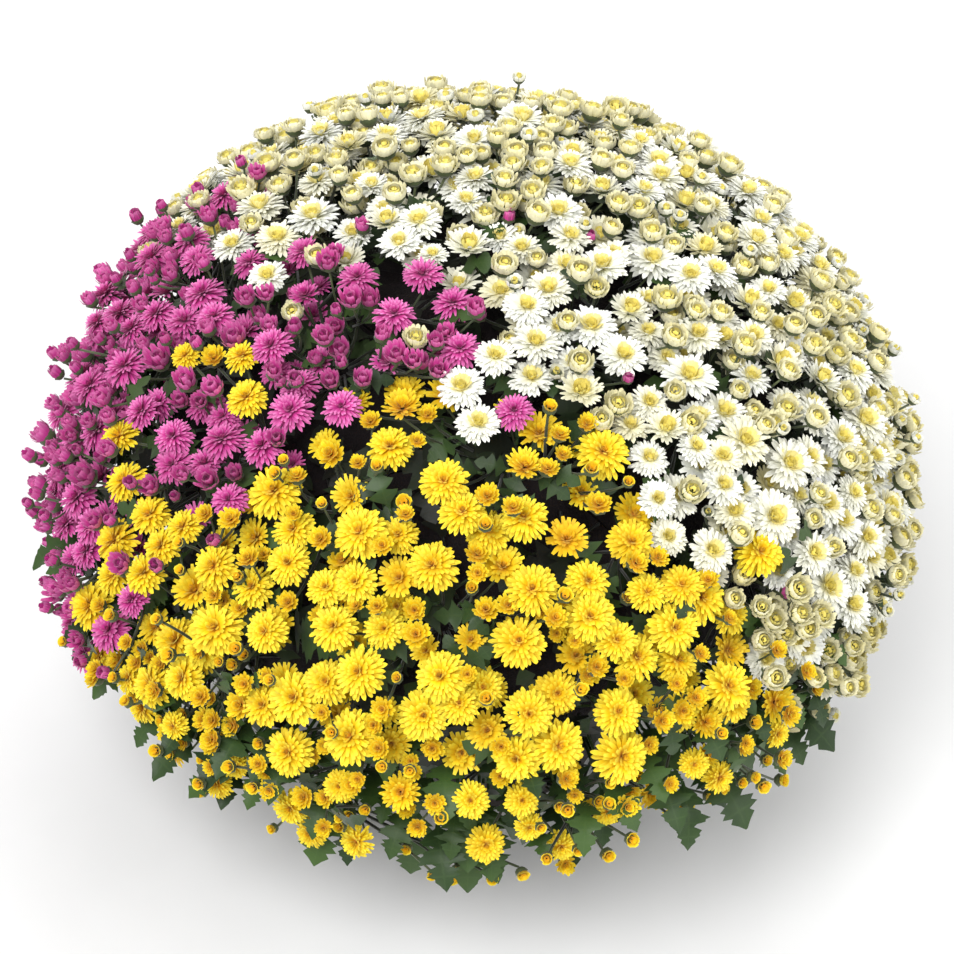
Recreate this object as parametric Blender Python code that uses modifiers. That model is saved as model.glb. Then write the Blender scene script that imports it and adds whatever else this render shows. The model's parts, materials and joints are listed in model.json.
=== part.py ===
"""Pot chrysanthemum: a yellow, a pink and a white plant grown into one dome in a plain nursery pot.

Metres, +Z up. The origin is the middle of the pot's flat base, and the dome's best side faces -Y.
Each flowering spray is one closed mesh: a short stem that stands on the leafy bush of its plant,
a fork, and one stalk with its bloom, half-open bloom or bud from each side of the fork.
"""

import math

import bmesh
import bpy
import numpy as np
from mathutils import Vector
from mathutils.bvhtree import BVHTree

# Pot and soil
POT_HEIGHT = 0.175
POT_BASE_RADIUS = 0.088
POT_MOUTH_RADIUS = 0.115
POT_WALL = 0.0025
POT_FLOOR = 0.0035
RIM_WIDTH = 0.005
RIM_DEPTH = 0.018
DRAIN_COUNT = 6
DRAIN_RADIUS = 0.007
DRAIN_CIRCLE = 0.058
SOIL_EDGE_HEIGHT = 0.155
SOIL_CROWN_HEIGHT = 0.161
DRAIN_SIDES = 10
RIM_STEP = 0.001
SOIL_SHOULDER = (0.055, 0.001)
SOIL_CLEARANCE = 0.0006
CUT_DEPTH = 0.020
GAP = 0.0003
TURNED_STEPS = 32
SHARP_ANGLE = math.radians(35.0)

# Dome of blooms, through the middles of the outermost ones
DOME_RADIUS = 0.275
DOME_RISE = 0.235
DOME_DROP = 0.205
DOME_MIDDLE = 0.225
LOWEST_BLOOM = -0.58
LOWEST_BUD = -0.74

# Line on which the three plants meet, from the crown in the soil to the dome's surface,
# and the directions round it, in degrees, in which the plants border on each other
CROWN = (0.0, -0.02, 0.165)
MEETING = (0.036, -0.152, 0.420)
WHITE_FROM = -37.0
PINK_FROM = 136.0
YELLOW_FROM = 190.0
BORDER_SCATTER = 5.0
# How the blooms of a plant hang over where it begins: distances from the line, and degrees there
OVERHANGS = {
    "white": ((0.03, 0.10), (18.0, 0.0)),
    "pink": ((0.06, 0.15), (-30.0, 0.0)),
    "yellow": ((0.05, 0.16, 0.22, 0.27), (-26.0, 2.0, 0.0, 8.0)),
}

# Leafy bush, which stands back from the blooms
BUSH_INSET = 0.064
BUSH_DROP = 0.140
BUSH_STEPS = 18
BUSH_RINGS = (66.0, 45.0, 25.0, 6.0, -14.0, -34.0, -50.0)
BUSH_HEM_RADIUS = 0.129
BUSH_HEM_RISE = 0.004
BUSH_CEILING = 0.190
PLANT_GAP = 0.0006
TRUNK_RADIUS = 0.009
TRUNK_SIDES = 8
TRUNK_DEPTH = 0.030
TRUNK_OVERLAP = 0.012
TRUNK_REACH = {"yellow": 0.052, "white": 0.055, "pink": 0.066}

# Sprays: forks spread over the bush from its top to just under the lowest blooms
SPRAY_COUNT = 54
FORKS_BELOW = 0.06
FIRST_FORK_TURN = 0.6
LEAST_HEADS = 3
FOOT_RADIUS = 0.0018
FOOT_CLEARANCE = 0.00045
FOOT_CAST = 0.04
FORK_HEIGHT = 0.011
FORK_RADIUS = 0.0062
FORK_PEAK = 0.0055
STALK_RADIUS = 0.0015
STALK_SIDES = 3
BORDER_CLEARANCE = 0.013
SPRAY_REACH = 0.088
NEAREST_TO_AXIS = 0.009

# Blooms: how far the calyx lies below the petals' plane, and how high the petals stand
BLOOM_BASE = 0.0095
BLOOM_PETALS = 5
BLOOM_TIP_HEIGHT = -0.0020
BLOOM_INNER_REACH = 0.80
SHADED_PETALS = 4
BLOOM_INNER_HEIGHT = 0.0048
BLOOM_EYE_HEIGHT = 0.0024
CUP_BASE = 0.0100
CUP_SIDES = 5
CUP_EYE_HEIGHT = -0.0022
BUD_BASE = 0.0065
BUD_SIDES = 4
BUD_PEAK = 0.0045

# How a head faces, and how clear it keeps of the others
FACE_OUT = 0.6
FACE_UP = 0.5
FACE_SCATTER = 0.07
HEAD_CLEARANCE = 0.0016
STALK_CLEARANCE = 0.0034
LEAST_FACING = 0.40
LEAST_TURN = math.radians(11.0)
LEAST_LEAN = math.radians(11.0)
FORK_EASE = 0.45
TRIAL_SIDES = 12
TRIAL_REACH = 0.94
TRIAL_PEAK = 0.0055
TRIAL_CROWN = 0.004
TRIAL_RANGE = 0.14
TRIAL_STALK = (0.16, 0.97)
TRIAL_STALK_STEPS = 16
THIN_BELOW = -0.06
THIN_SHARE = 0.15

# Radii of the heads by kind and plant, and how often a plant carries each kind
BLOOM_RADII = {"yellow": (0.0172, 0.0215), "white": (0.0162, 0.0200), "pink": (0.0150, 0.0185)}
RADII = {
    "bloom": BLOOM_RADII,
    "shaded": BLOOM_RADII,
    "cup": dict.fromkeys(BLOOM_RADII, (0.0088, 0.0110)),
    "bud": dict.fromkeys(BLOOM_RADII, (0.0048, 0.0062)),
}
SHARES = {
    "bloom": {"yellow": 1.0, "white": 1.0, "pink": 1.0},
    "shaded": {"yellow": 1.0, "white": 1.0, "pink": 1.0},
    "cup": {"yellow": 0.35, "white": 1.0, "pink": 0.40},
    "bud": {"yellow": 0.8, "white": 0.8, "pink": 0.9},
}
BASES = {"bloom": BLOOM_BASE, "shaded": BLOOM_BASE, "cup": CUP_BASE, "bud": BUD_BASE}
# Rounds of planting: kind, how deep in the dome, lowest direction, places tried and heads wanted
ROUNDS = (
    ("bloom", (-0.002, 0.006), LOWEST_BLOOM, 9000, 290),
    ("shaded", (0.014, 0.026), LOWEST_BLOOM, 6000, 85),
    ("cup", (-0.010, 0.010), LOWEST_BLOOM, 4000, 95),
    ("bud", (-0.012, 0.012), LOWEST_BUD, 4000, 75),
)

# Leaves
LEAF_COUNT = 92
SKIRT_LEAVES = 40
SKIRT_ROUNDS = 3
SKIRT_PETIOLE = 0.014
SKIRT_HEIGHTS = (-0.80, -0.30)
SKIRT_SCATTER = 0.4
SKIRT_FALL = 0.25
SKIRT_FALL_SPREAD = 0.35
SKIRT_RISE = math.radians(12.0)
INNER_TRIES = 1500
INNER_SPREAD = 150
INNER_SPAN = 1.55
LEAF_CAST = 0.12
LEAST_LEAF_FACING = 0.7
LEAF_LENGTH = (0.046, 0.062)
LEAF_WIDTH = 0.70
LEAF_THICKNESS = 0.0014
LEAF_ARCH = 0.08
LEAF_DROOP = 0.22
LEAF_MIDDLE = 0.40
LEAF_RISE = (30.0, 62.0)
LEAST_LEAF_LIFT = 0.45
PETIOLE_LENGTH = (0.014, 0.030)
PETIOLE_RADIUS = 0.0017
LEAF_CLEARANCE = 0.0010
ROOT_MARGIN = 0.0010
LEAST_PART = 1e-7
# Lobed outline of half a leaf: (along the midrib, out from it) as shares of length and half width
LEAF_HALF = ((0.14, 0.66), (0.34, 0.42), (0.52, 1.00), (0.68, 0.44))

SEED = 20
FRAME_HINT = np.array((0.31, 0.77, 0.55))
GOLDEN_ANGLE = math.pi * (3.0 - math.sqrt(5.0))

COLOURS = {
    "pot": ((0.020, 0.014, 0.013), 0.55),
    "soil": ((0.035, 0.022, 0.014), 0.95),
    "foliage": ((0.055, 0.150, 0.035), 0.55),
    "yellow": ((0.85, 0.58, 0.02), 0.60),
    "white": ((0.82, 0.80, 0.62), 0.60),
    "pink": ((0.45, 0.045, 0.29), 0.60),
}


def unit(vector):
    """The vector at length one."""
    return vector / np.linalg.norm(vector)


def leaning_axes():
    """The crown, the line of meeting and two directions square to it, as arrays."""
    crown = np.array(CROWN)
    line = unit(np.array(MEETING) - crown)
    across = np.array((1.0, 0.0, 0.0))
    across = unit(across - line * (across @ line))
    return crown, line, across, np.cross(line, across)


def plant_at(point, scatter=0.0):
    """The plant whose blooms cover a point of the dome, with its borders moved by some degrees."""
    crown, _, across, back = leaning_axes()
    offset = point - crown
    out, up = offset @ across, offset @ back
    turn = (math.degrees(math.atan2(up, out)) + scatter) % 360.0
    starts = {plant: borders_of(plant)[0] + np.interp(math.hypot(out, up), *overhang)
              for plant, overhang in OVERHANGS.items()}
    if starts["pink"] <= turn < starts["yellow"]:
        return "pink"
    if starts["yellow"] <= turn < 360.0 + starts["white"]:
        return "yellow"
    return "white"


def borders_of(plant):
    """Where a plant's share begins and ends, in degrees round the line of meeting."""
    starts = {"white": WHITE_FROM, "pink": PINK_FROM, "yellow": YELLOW_FROM}
    ends = {"white": PINK_FROM, "pink": YELLOW_FROM, "yellow": 360.0 + WHITE_FROM}
    return starts[plant], ends[plant]


def border_normal(degrees):
    """Unit normal, towards rising angles, of the plane through the line of meeting at an angle."""
    _, line, across, back = leaning_axes()
    angle = math.radians(degrees)
    return np.cross(line, math.cos(angle) * across + math.sin(angle) * back)


def dome_point(direction, inset):
    """Point of the dome, moved in by the inset, for a unit direction from its middle."""
    rise = DOME_RISE if direction[2] > 0.0 else DOME_DROP
    size = np.array((DOME_RADIUS - inset, DOME_RADIUS - inset, rise - inset))
    return np.array((0.0, 0.0, DOME_MIDDLE)) + direction * size


def dome_normal(direction):
    """Outward unit normal of the dome for a unit direction from its middle."""
    rise = DOME_RISE if direction[2] > 0.0 else DOME_DROP
    return unit(direction / np.array((DOME_RADIUS, DOME_RADIUS, rise)))


def direction_at(height, turn):
    """Unit direction whose upward part is the height, turned round the vertical."""
    flat = math.sqrt(max(0.0, 1.0 - height * height))
    return np.array((flat * math.cos(turn), flat * math.sin(turn), height))


def frame_along(axis, hint):
    """Two unit vectors that make a right-handed frame with the axis, the first one near the hint."""
    first = unit(hint - axis * (hint @ axis))
    return first, np.cross(axis, first)


def plan_forks():
    """Fork points of the sprays, spread evenly over the bush and clear of the plants' borders."""
    forks = []
    for index in range(SPRAY_COUNT):
        height = 1.0 - (index + 0.5) / SPRAY_COUNT * (1.0 - LOWEST_BLOOM + FORKS_BELOW)
        direction = direction_at(height, index * GOLDEN_ANGLE + FIRST_FORK_TURN)
        point = dome_point(direction, BUSH_INSET)
        plant = plant_at(dome_point(direction, 0.0))
        start, end = borders_of(plant)
        for normal in (border_normal(start), -border_normal(end)):
            depth = (point - np.array(CROWN)) @ normal
            point = point + normal * max(0.0, BORDER_CLEARANCE - depth)
        axis = dome_normal(direction)
        forks.append({"plant": plant, "top": point + axis * BUSH_INSET, "foot": point,
                      "axis": axis, "fork": point + axis * FORK_HEIGHT, "number": index, "heads": []})
    return forks


def head_points(head):
    """Points on a head that stand for it when it is tried against others."""
    side, front = frame_along(head["axis"], FRAME_HINT)
    points = [head["base"], head["middle"] + head["axis"] * TRIAL_CROWN]
    for index in range(TRIAL_SIDES):
        angle = index * math.tau / TRIAL_SIDES
        around = (side * math.cos(angle) + front * math.sin(angle)) * head["radius"] * TRIAL_REACH
        points.append(head["middle"] + around)
        points.append((head["middle"] + head["base"] + around) / 2)
    return np.array(points)


def stalk_points(head):
    """Points along a stalk, from a little past its fork to the head."""
    steps = np.linspace(*TRIAL_STALK, TRIAL_STALK_STEPS)[:, None]
    return head["fork"] * (1.0 - steps) + head["base"] * steps


class Crowd:
    """The heads placed so far, as stacked arrays, so that a new one is tried against all of them at once."""

    KEYS = ("middle", "axis", "base", "radius", "points", "stalk", "way", "spray_number", "turn")

    def __init__(self):
        self.columns = {key: [] for key in self.KEYS}

    def add(self, head):
        """Takes in a head that has its place."""
        for key in self.KEYS:
            self.columns[key].append(head[key])

    def near(self, head):
        """Stacked values of the heads within reach of a new one."""
        middles = np.array(self.columns["middle"])
        close = np.linalg.norm(middles - head["middle"], axis=1) < TRIAL_RANGE
        return {key: np.array(self.columns[key])[close] for key in self.KEYS}

    def has_room_for(self, head):
        """True where a head and its stalk are clear of all the others."""
        if not self.columns["radius"]:
            return True
        others = self.near(head)
        if not len(others["radius"]):
            return True
        own = {key: np.array([head[key]]) for key in self.KEYS}
        if enter(head["points"][None], others) or enter(head["stalk"][None], others):
            return False
        if enter(others["points"], own) or enter(others["stalk"], own):
            return False
        apart = np.linalg.norm(others["stalk"][:, :, None] - head["stalk"][None, None], axis=3)
        if apart.min() < STALK_CLEARANCE:
            return False
        same = others["spray_number"] == head["spray_number"]
        turned_by = np.abs((others["turn"][same] - head["turn"] + math.pi) % math.tau - math.pi)
        lean = np.arccos(np.clip(others["way"][same] @ head["way"], -1.0, 1.0))
        return not ((turned_by < LEAST_TURN) | (lean < LEAST_LEAN)).any()


def enter(points, heads):
    """True where any of the points lies in any of the heads, or too near it."""
    offset = points - heads["middle"][:, None]
    along = (offset * heads["axis"][:, None]).sum(axis=2)
    out = np.linalg.norm(offset - along[:, :, None] * heads["axis"][:, None], axis=2)
    depth = np.linalg.norm(heads["middle"] - heads["base"], axis=1)[:, None]
    widen = np.clip((along + depth) / depth, 0.0, 1.0)
    limit = STALK_RADIUS + (heads["radius"][:, None] - STALK_RADIUS) * widen + HEAD_CLEARANCE
    level = (along > -depth - HEAD_CLEARANCE) & (along < TRIAL_PEAK + HEAD_CLEARANCE)
    return bool((level & (out < limit)).any())


def try_head(draw, kind, forks, depth_range, lowest):
    """One head of a kind at a random place, or None where no spray of its plant reaches it."""
    direction = direction_at(draw.uniform(lowest, 1.0), draw.uniform(0.0, math.tau))
    middle = dome_point(direction, draw.uniform(*depth_range))
    plant = plant_at(middle, draw.normal(0.0, BORDER_SCATTER))
    radius = draw.uniform(*RADII[kind][plant])
    wobble = draw.normal(0.0, FACE_SCATTER, 3)
    chance = draw.uniform()
    share = SHARES[kind][plant]
    if direction[2] < THIN_BELOW:
        share *= THIN_SHARE
    if chance > share:
        return None
    own = [fork for fork in forks if fork["plant"] == plant]
    spray = min(own, key=lambda fork: np.linalg.norm(fork["top"] - middle))
    side, front = frame_along(spray["axis"], FRAME_HINT)
    axis = unit(FACE_OUT * dome_normal(direction) + np.array((0.0, 0.0, FACE_UP)) + wobble)
    base = middle - axis * BASES[kind]
    offset = base - spray["fork"]
    across = math.hypot(offset @ side, offset @ front)
    if not NEAREST_TO_AXIS < across < SPRAY_REACH or unit(offset) @ axis < LEAST_FACING:
        return None
    head = {"kind": kind, "plant": plant, "middle": middle, "axis": axis, "radius": radius,
            "base": base, "fork": spray["fork"], "spray": spray, "way": unit(offset),
            "spray_number": spray["number"], "turn": math.atan2(offset @ front, offset @ side)}
    head["points"] = head_points(head)
    head["stalk"] = stalk_points(head)
    return head


def plan_heads(forks):
    """Gives every spray its blooms, half-open blooms and buds, the outermost blooms first."""
    draw = np.random.default_rng(SEED)
    crowd = Crowd()
    for kind, depth_range, lowest, tries, most in ROUNDS:
        placed = 0
        for _ in range(tries):
            head = try_head(draw, kind, forks, depth_range, lowest)
            if placed < most and head is not None and crowd.has_room_for(head):
                crowd.add(head)
                head["spray"]["heads"].append(head)
                placed += 1


def new_material(name, colour, roughness):
    """A plain Principled material."""
    material = bpy.data.materials.new(name)
    material.use_nodes = True
    shader = material.node_tree.nodes["Principled BSDF"]
    shader.inputs["Base Color"].default_value = (*colour, 1.0)
    shader.inputs["Roughness"].default_value = roughness
    shader.inputs["Metallic"].default_value = 0.0
    material.diffuse_color = (*colour, 1.0)
    return material


def add_object(name, mesh, finish, collection):
    """An object for a mesh, with its own material, in the parts' collection."""
    colour, roughness = COLOURS[finish]
    mesh.materials.clear()
    mesh.materials.append(new_material(name, colour, roughness))
    item = bpy.data.objects.new(name, mesh)
    collection.objects.link(item)
    return item


def mesh_from(bm, name):
    """A mesh data block made from a bmesh, which is freed."""
    mesh = bpy.data.meshes.new(name)
    bm.to_mesh(mesh)
    bm.free()
    return mesh


def turned(name, profile, finish, collection):
    """A solid turned round the vertical from (radius, height) points, down its outer side first."""
    mesh = bpy.data.meshes.new(name)
    edges = [(index, index + 1) for index in range(len(profile) - 1)]
    mesh.from_pydata([(radius, 0.0, height) for radius, height in profile], edges, [])
    item = add_object(name, mesh, finish, collection)
    screw = item.modifiers.new("turn", "SCREW")
    screw.steps = TURNED_STEPS
    screw.render_steps = TURNED_STEPS
    screw.use_merge_vertices = True
    screw.merge_threshold = 0.00001
    return item


def cut(item, cutter, number):
    """Cuts one object with another by a Boolean modifier."""
    boolean = item.modifiers.new(f"cut {number}", "BOOLEAN")
    boolean.operation = "DIFFERENCE"
    boolean.object = cutter


def drum_cutter(name, centre, radius, depth, sides, cutters):
    """A round cutter that is kept out of renders."""
    bm = bmesh.new()
    bmesh.ops.create_cone(bm, cap_ends=True, segments=sides, radius1=radius, radius2=radius, depth=depth)
    bmesh.ops.translate(bm, verts=bm.verts, vec=centre)
    item = bpy.data.objects.new(name, mesh_from(bm, name))
    item.hide_render = True
    item.display_type = "WIRE"
    cutters.objects.link(item)
    return item


def apply_round(item):
    """Applies an object's modifiers and shades it smooth but for its sharp edges."""
    bpy.context.view_layer.update()
    mesh = bpy.data.meshes.new_from_object(item.evaluated_get(bpy.context.evaluated_depsgraph_get()))
    item.modifiers.clear()
    item.data = mesh
    mesh.shade_smooth()
    mesh.set_sharp_from_angle(angle=SHARP_ANGLE)


def build_pot(collection, cutters):
    """Plain turned pot with a rolled rim and round drain holes in its floor."""
    inner_base = POT_BASE_RADIUS - POT_WALL
    inner_mouth = POT_MOUTH_RADIUS - POT_WALL
    rim = POT_MOUTH_RADIUS + RIM_WIDTH
    step = POT_HEIGHT - RIM_DEPTH
    profile = [(0.0, POT_FLOOR), (inner_base, POT_FLOOR), (inner_mouth, POT_HEIGHT),
               (rim, POT_HEIGHT), (rim, step), (POT_MOUTH_RADIUS - RIM_STEP, step),
               (POT_BASE_RADIUS, 0.0), (0.0, 0.0)]
    pot = turned("pot", profile, "pot", collection)
    for index in range(DRAIN_COUNT):
        angle = math.tau * index / DRAIN_COUNT
        centre = (DRAIN_CIRCLE * math.cos(angle), DRAIN_CIRCLE * math.sin(angle), 0.0)
        name = f"drain_cutter_{index}"
        cut(pot, drum_cutter(name, centre, DRAIN_RADIUS, CUT_DEPTH, DRAIN_SIDES, cutters), index)
    apply_round(pot)


def trunk_place(plant):
    """Where a plant's trunk stands in the soil, in plan."""
    start, end = borders_of(plant)
    middle = math.radians((start + end) / 2)
    reach = TRUNK_REACH[plant]
    return CROWN[0] + reach * math.cos(middle), CROWN[1] + reach * math.sin(middle)


def build_soil(collection, cutters):
    """The filling of the pot, crowned, with a plain hole for each trunk."""
    slope = (POT_MOUTH_RADIUS - POT_BASE_RADIUS) / POT_HEIGHT
    inner = POT_BASE_RADIUS - POT_WALL - SOIL_CLEARANCE
    bottom = POT_FLOOR + GAP
    shoulder, fall = SOIL_SHOULDER
    profile = [(0.0, SOIL_CROWN_HEIGHT), (shoulder, SOIL_CROWN_HEIGHT - fall),
               (inner + slope * SOIL_EDGE_HEIGHT, SOIL_EDGE_HEIGHT),
               (inner + slope * bottom, bottom), (0.0, bottom)]
    soil = turned("soil", profile, "soil", collection)
    for index, plant in enumerate(TRUNK_REACH):
        centre = (*trunk_place(plant), SOIL_CROWN_HEIGHT)
        name = f"hole_cutter_{plant}"
        radius = TRUNK_RADIUS + 2 * GAP
        cut(soil, drum_cutter(name, centre, radius, 2 * TRUNK_DEPTH, TRUNK_SIDES, cutters), index)
    apply_round(soil)


def bush_profile():
    """Outline of the bush from its top down its outer side, under its hem and in to the axis."""
    radius = DOME_RADIUS - BUSH_INSET
    points = [(0.0, DOME_MIDDLE + DOME_RISE - BUSH_INSET)]
    for ring in BUSH_RINGS:
        height = DOME_RISE - BUSH_INSET if ring > 0.0 else BUSH_DROP
        angle = math.radians(ring)
        points.append((radius * math.cos(angle), DOME_MIDDLE + height * math.sin(angle)))
    points.append((BUSH_HEM_RADIUS, points[-1][1] + BUSH_HEM_RISE))
    points.append((BUSH_HEM_RADIUS, BUSH_CEILING))
    points.append((0.0, BUSH_CEILING))
    return points


def turned_bmesh(profile, steps):
    """Closed turned bmesh of an outline that starts and ends on the axis, facing out."""
    bm = bmesh.new()
    chain = [bm.verts.new((radius, 0.0, height)) for radius, height in profile]
    edges = [bm.edges.new((first, second)) for first, second in zip(chain, chain[1:])]
    bmesh.ops.spin(bm, geom=chain + edges, cent=(0.0, 0.0, 0.0), axis=(0.0, 0.0, 1.0),
                   angle=math.tau, steps=steps, use_merge=True)
    bmesh.ops.remove_doubles(bm, verts=bm.verts, dist=0.00001)
    bmesh.ops.recalc_face_normals(bm, faces=bm.faces)
    return bm


def keep_side(bm, point, normal):
    """Keeps what lies on the normal's side of a plane, and closes the cut."""
    geometry = bm.verts[:] + bm.edges[:] + bm.faces[:]
    bmesh.ops.bisect_plane(bm, geom=geometry, dist=0.00001, plane_co=point, plane_no=normal,
                           clear_inner=True)
    bmesh.ops.holes_fill(bm, edges=[edge for edge in bm.edges if edge.is_boundary], sides=0)


def bush_of(plant):
    """A plant's share of the bush, cut from the whole by the planes of its two borders."""
    bm = turned_bmesh(bush_profile(), BUSH_STEPS)
    start, end = borders_of(plant)
    for normal in (border_normal(start), -border_normal(end)):
        keep_side(bm, Vector(CROWN) + Vector(normal) * PLANT_GAP / 2, Vector(normal))
    bmesh.ops.recalc_face_normals(bm, faces=bm.faces)
    bmesh.ops.triangulate(bm, faces=bm.faces)
    return bm


def join_trunk(bm, plant):
    """The bush with its trunk, which runs from inside it down into the soil."""
    foot = SOIL_CROWN_HEIGHT - TRUNK_DEPTH + GAP
    top = BUSH_CEILING + TRUNK_OVERLAP
    trunk = bmesh.new()
    bmesh.ops.create_cone(trunk, cap_ends=True, segments=TRUNK_SIDES, radius1=TRUNK_RADIUS,
                          radius2=TRUNK_RADIUS, depth=top - foot)
    bmesh.ops.translate(trunk, verts=trunk.verts, vec=(*trunk_place(plant), (top + foot) / 2))
    bush_item = bpy.data.objects.new("bush", mesh_from(bm, "bush"))
    trunk_item = bpy.data.objects.new("trunk", mesh_from(trunk, "trunk"))
    for item in (bush_item, trunk_item):
        bpy.context.scene.collection.objects.link(item)
    join = bush_item.modifiers.new("join", "BOOLEAN")
    join.operation = "UNION"
    join.object = trunk_item
    bpy.context.view_layer.update()
    evaluated = bush_item.evaluated_get(bpy.context.evaluated_depsgraph_get())
    joined = bmesh.new()
    joined.from_mesh(evaluated.data)
    for item in (bush_item, trunk_item):
        bpy.data.objects.remove(item)
    bmesh.ops.triangulate(joined, faces=joined.faces)
    return joined


def band(low, high, centre, side, front):
    """Triangles, as indices into low + high, that close the band between two rings round a centre."""
    def turn_of(point):
        offset = np.array(point) - centre
        return math.atan2(offset @ front, offset @ side) % math.tau

    def unrolled(order, points, start):
        turns = [start + (turn_of(points[index]) - start) % math.tau for index in order]
        return turns + [turns[0] + math.tau]

    low_order = sorted(range(len(low)), key=lambda index: turn_of(low[index]))
    high_order = sorted(range(len(high)), key=lambda index: turn_of(high[index]))
    begin = turn_of(low[low_order[0]])
    gaps = [abs((turn_of(high[index]) - begin + math.pi) % math.tau - math.pi) for index in high_order]
    nearest = gaps.index(min(gaps))
    high_order = high_order[nearest:] + high_order[:nearest]
    first = begin + (turn_of(high[high_order[0]]) - begin + math.pi) % math.tau - math.pi
    low_turns = unrolled(low_order, low, begin)
    high_turns = unrolled(high_order, high, first)
    triangles = []
    i = j = 0
    while i < len(low) or j < len(high):
        here = low_order[i % len(low)]
        there = len(low) + high_order[j % len(high)]
        if j == len(high) or (i < len(low) and low_turns[i + 1] <= high_turns[j + 1]):
            i += 1
            triangles.append((here, low_order[i % len(low)], there))
        else:
            j += 1
            triangles.append((here, len(low) + high_order[j % len(high)], there))
    return triangles


def stitch(bm, low, high, centre, side, front):
    """Closes the band between two rings of a bmesh round a centre."""
    verts = list(low) + list(high)
    for triangle in band([vert.co for vert in low], [vert.co for vert in high], centre, side, front):
        bm.faces.new([verts[index] for index in triangle])


def ring_points(centre, axis, hint, radii, heights):
    """Points of a ring round an axis, anticlockwise from the hint's side."""
    side, front = frame_along(axis, hint)
    points = []
    for index, (radius, height) in enumerate(zip(radii, heights)):
        angle = index * math.tau / len(radii)
        out = side * math.cos(angle) + front * math.sin(angle)
        points.append(centre + out * radius + axis * height)
    return points


def head_outline(head):
    """Radii, heights and the height of the middle that give a head its form."""
    radius = head["radius"]
    if head["kind"] in ("bloom", "shaded"):
        pairs = BLOOM_PETALS if head["kind"] == "bloom" else SHADED_PETALS
        radii = [radius, radius * BLOOM_INNER_REACH] * pairs
        return radii, [BLOOM_TIP_HEIGHT, BLOOM_INNER_HEIGHT] * pairs, BLOOM_EYE_HEIGHT
    if head["kind"] == "cup":
        return [radius] * CUP_SIDES, [0.0] * CUP_SIDES, CUP_EYE_HEIGHT
    return [radius] * BUD_SIDES, [0.0] * BUD_SIDES, BUD_PEAK


def add_head(bm, head, facet):
    """Draws a stalk out of a facet of the fork and opens it into the head."""
    corners = [np.array(corner.co) for corner in facet]
    start = sum(corners) / STALK_SIDES
    along = unit(head["base"] - start)
    lean = unit(along + head["axis"])
    hint = corners[0] - start
    radii = [STALK_RADIUS] * STALK_SIDES
    neck_ring = ring_points(head["base"], lean, hint, radii, [0.0] * STALK_SIDES)
    neck = [bm.verts.new(point) for point in neck_ring]
    for index in range(STALK_SIDES):
        after = (index + 1) % STALK_SIDES
        bm.faces.new((facet[index], facet[after], neck[after]))
        bm.faces.new((facet[index], neck[after], neck[index]))
    radii, heights, eye_height = head_outline(head)
    hint = np.array(neck[0].co) - head["base"]
    outline = ring_points(head["middle"], head["axis"], hint, radii, heights)
    rim = [bm.verts.new(point) for point in outline]
    stitch(bm, neck, rim, head["middle"], *frame_along(head["axis"], hint))
    eye = bm.verts.new(head["middle"] + head["axis"] * eye_height)
    for index, corner in enumerate(rim):
        bm.faces.new((corner, rim[(index + 1) % len(rim)], eye))


def fork_sides(spray):
    """The heads in order round the fork, and the turns at which the fork's sides begin."""
    ordered = sorted(spray["heads"], key=lambda head: head["turn"] % math.tau)
    turns = np.array([head["turn"] % math.tau for head in ordered])
    even = np.arange(len(ordered)) * math.tau / len(ordered)
    eased = turns + (even + np.mean(turns - even) - turns) * FORK_EASE
    after = np.append(eased[1:], eased[0] + math.tau)
    starts = np.roll((eased + after) / 2, 1)
    starts[0] -= math.tau
    return ordered, starts


def build_spray(spray, ground):
    """The closed bmesh of one spray, which stands just clear of the bush."""
    ordered, starts = fork_sides(spray)
    side, front = frame_along(spray["axis"], FRAME_HINT)
    bm = bmesh.new()
    feet = []
    radii = [FOOT_RADIUS] * STALK_SIDES
    for point in ring_points(spray["foot"], spray["axis"], side, radii, [0.0] * STALK_SIDES):
        far = Vector(point + spray["axis"] * FOOT_CAST)
        hit, _, _, _ = ground.ray_cast(far, Vector(-spray["axis"]))
        feet.append(bm.verts.new(hit + Vector(spray["axis"]) * FOOT_CLEARANCE))
    ring = []
    for start in starts:
        out = side * math.cos(start) + front * math.sin(start)
        ring.append(bm.verts.new(spray["fork"] + out * FORK_RADIUS))
    peak = bm.verts.new(spray["fork"] + spray["axis"] * FORK_PEAK)
    bm.faces.new(reversed(feet))
    stitch(bm, feet, ring, spray["fork"], side, front)
    for index, head in enumerate(ordered):
        add_head(bm, head, (peak, ring[index], ring[(index + 1) % len(ring)]))
    return bm


def crossing_place(bm):
    """Where a mesh runs through itself, or None."""
    bm.faces.ensure_lookup_table()
    tree = BVHTree.FromBMesh(bm)
    for first, second in tree.overlap(tree):
        if not set(bm.faces[first].verts) & set(bm.faces[second].verts):
            return np.array(bm.faces[first].calc_center_median())
    return None


def build_clear_spray(spray, ground):
    """A spray that nowhere runs through itself: a small head that would is left off."""
    while True:
        bm = build_spray(spray, ground)
        place = crossing_place(bm)
        if place is None:
            return bm
        bm.free()
        near = sorted(spray["heads"], key=lambda head: np.linalg.norm(head["stalk"] - place, axis=1).min())
        smaller = min(near[:2], key=lambda head: head["radius"])
        spray["heads"] = [head for head in spray["heads"] if head is not smaller]


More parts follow.
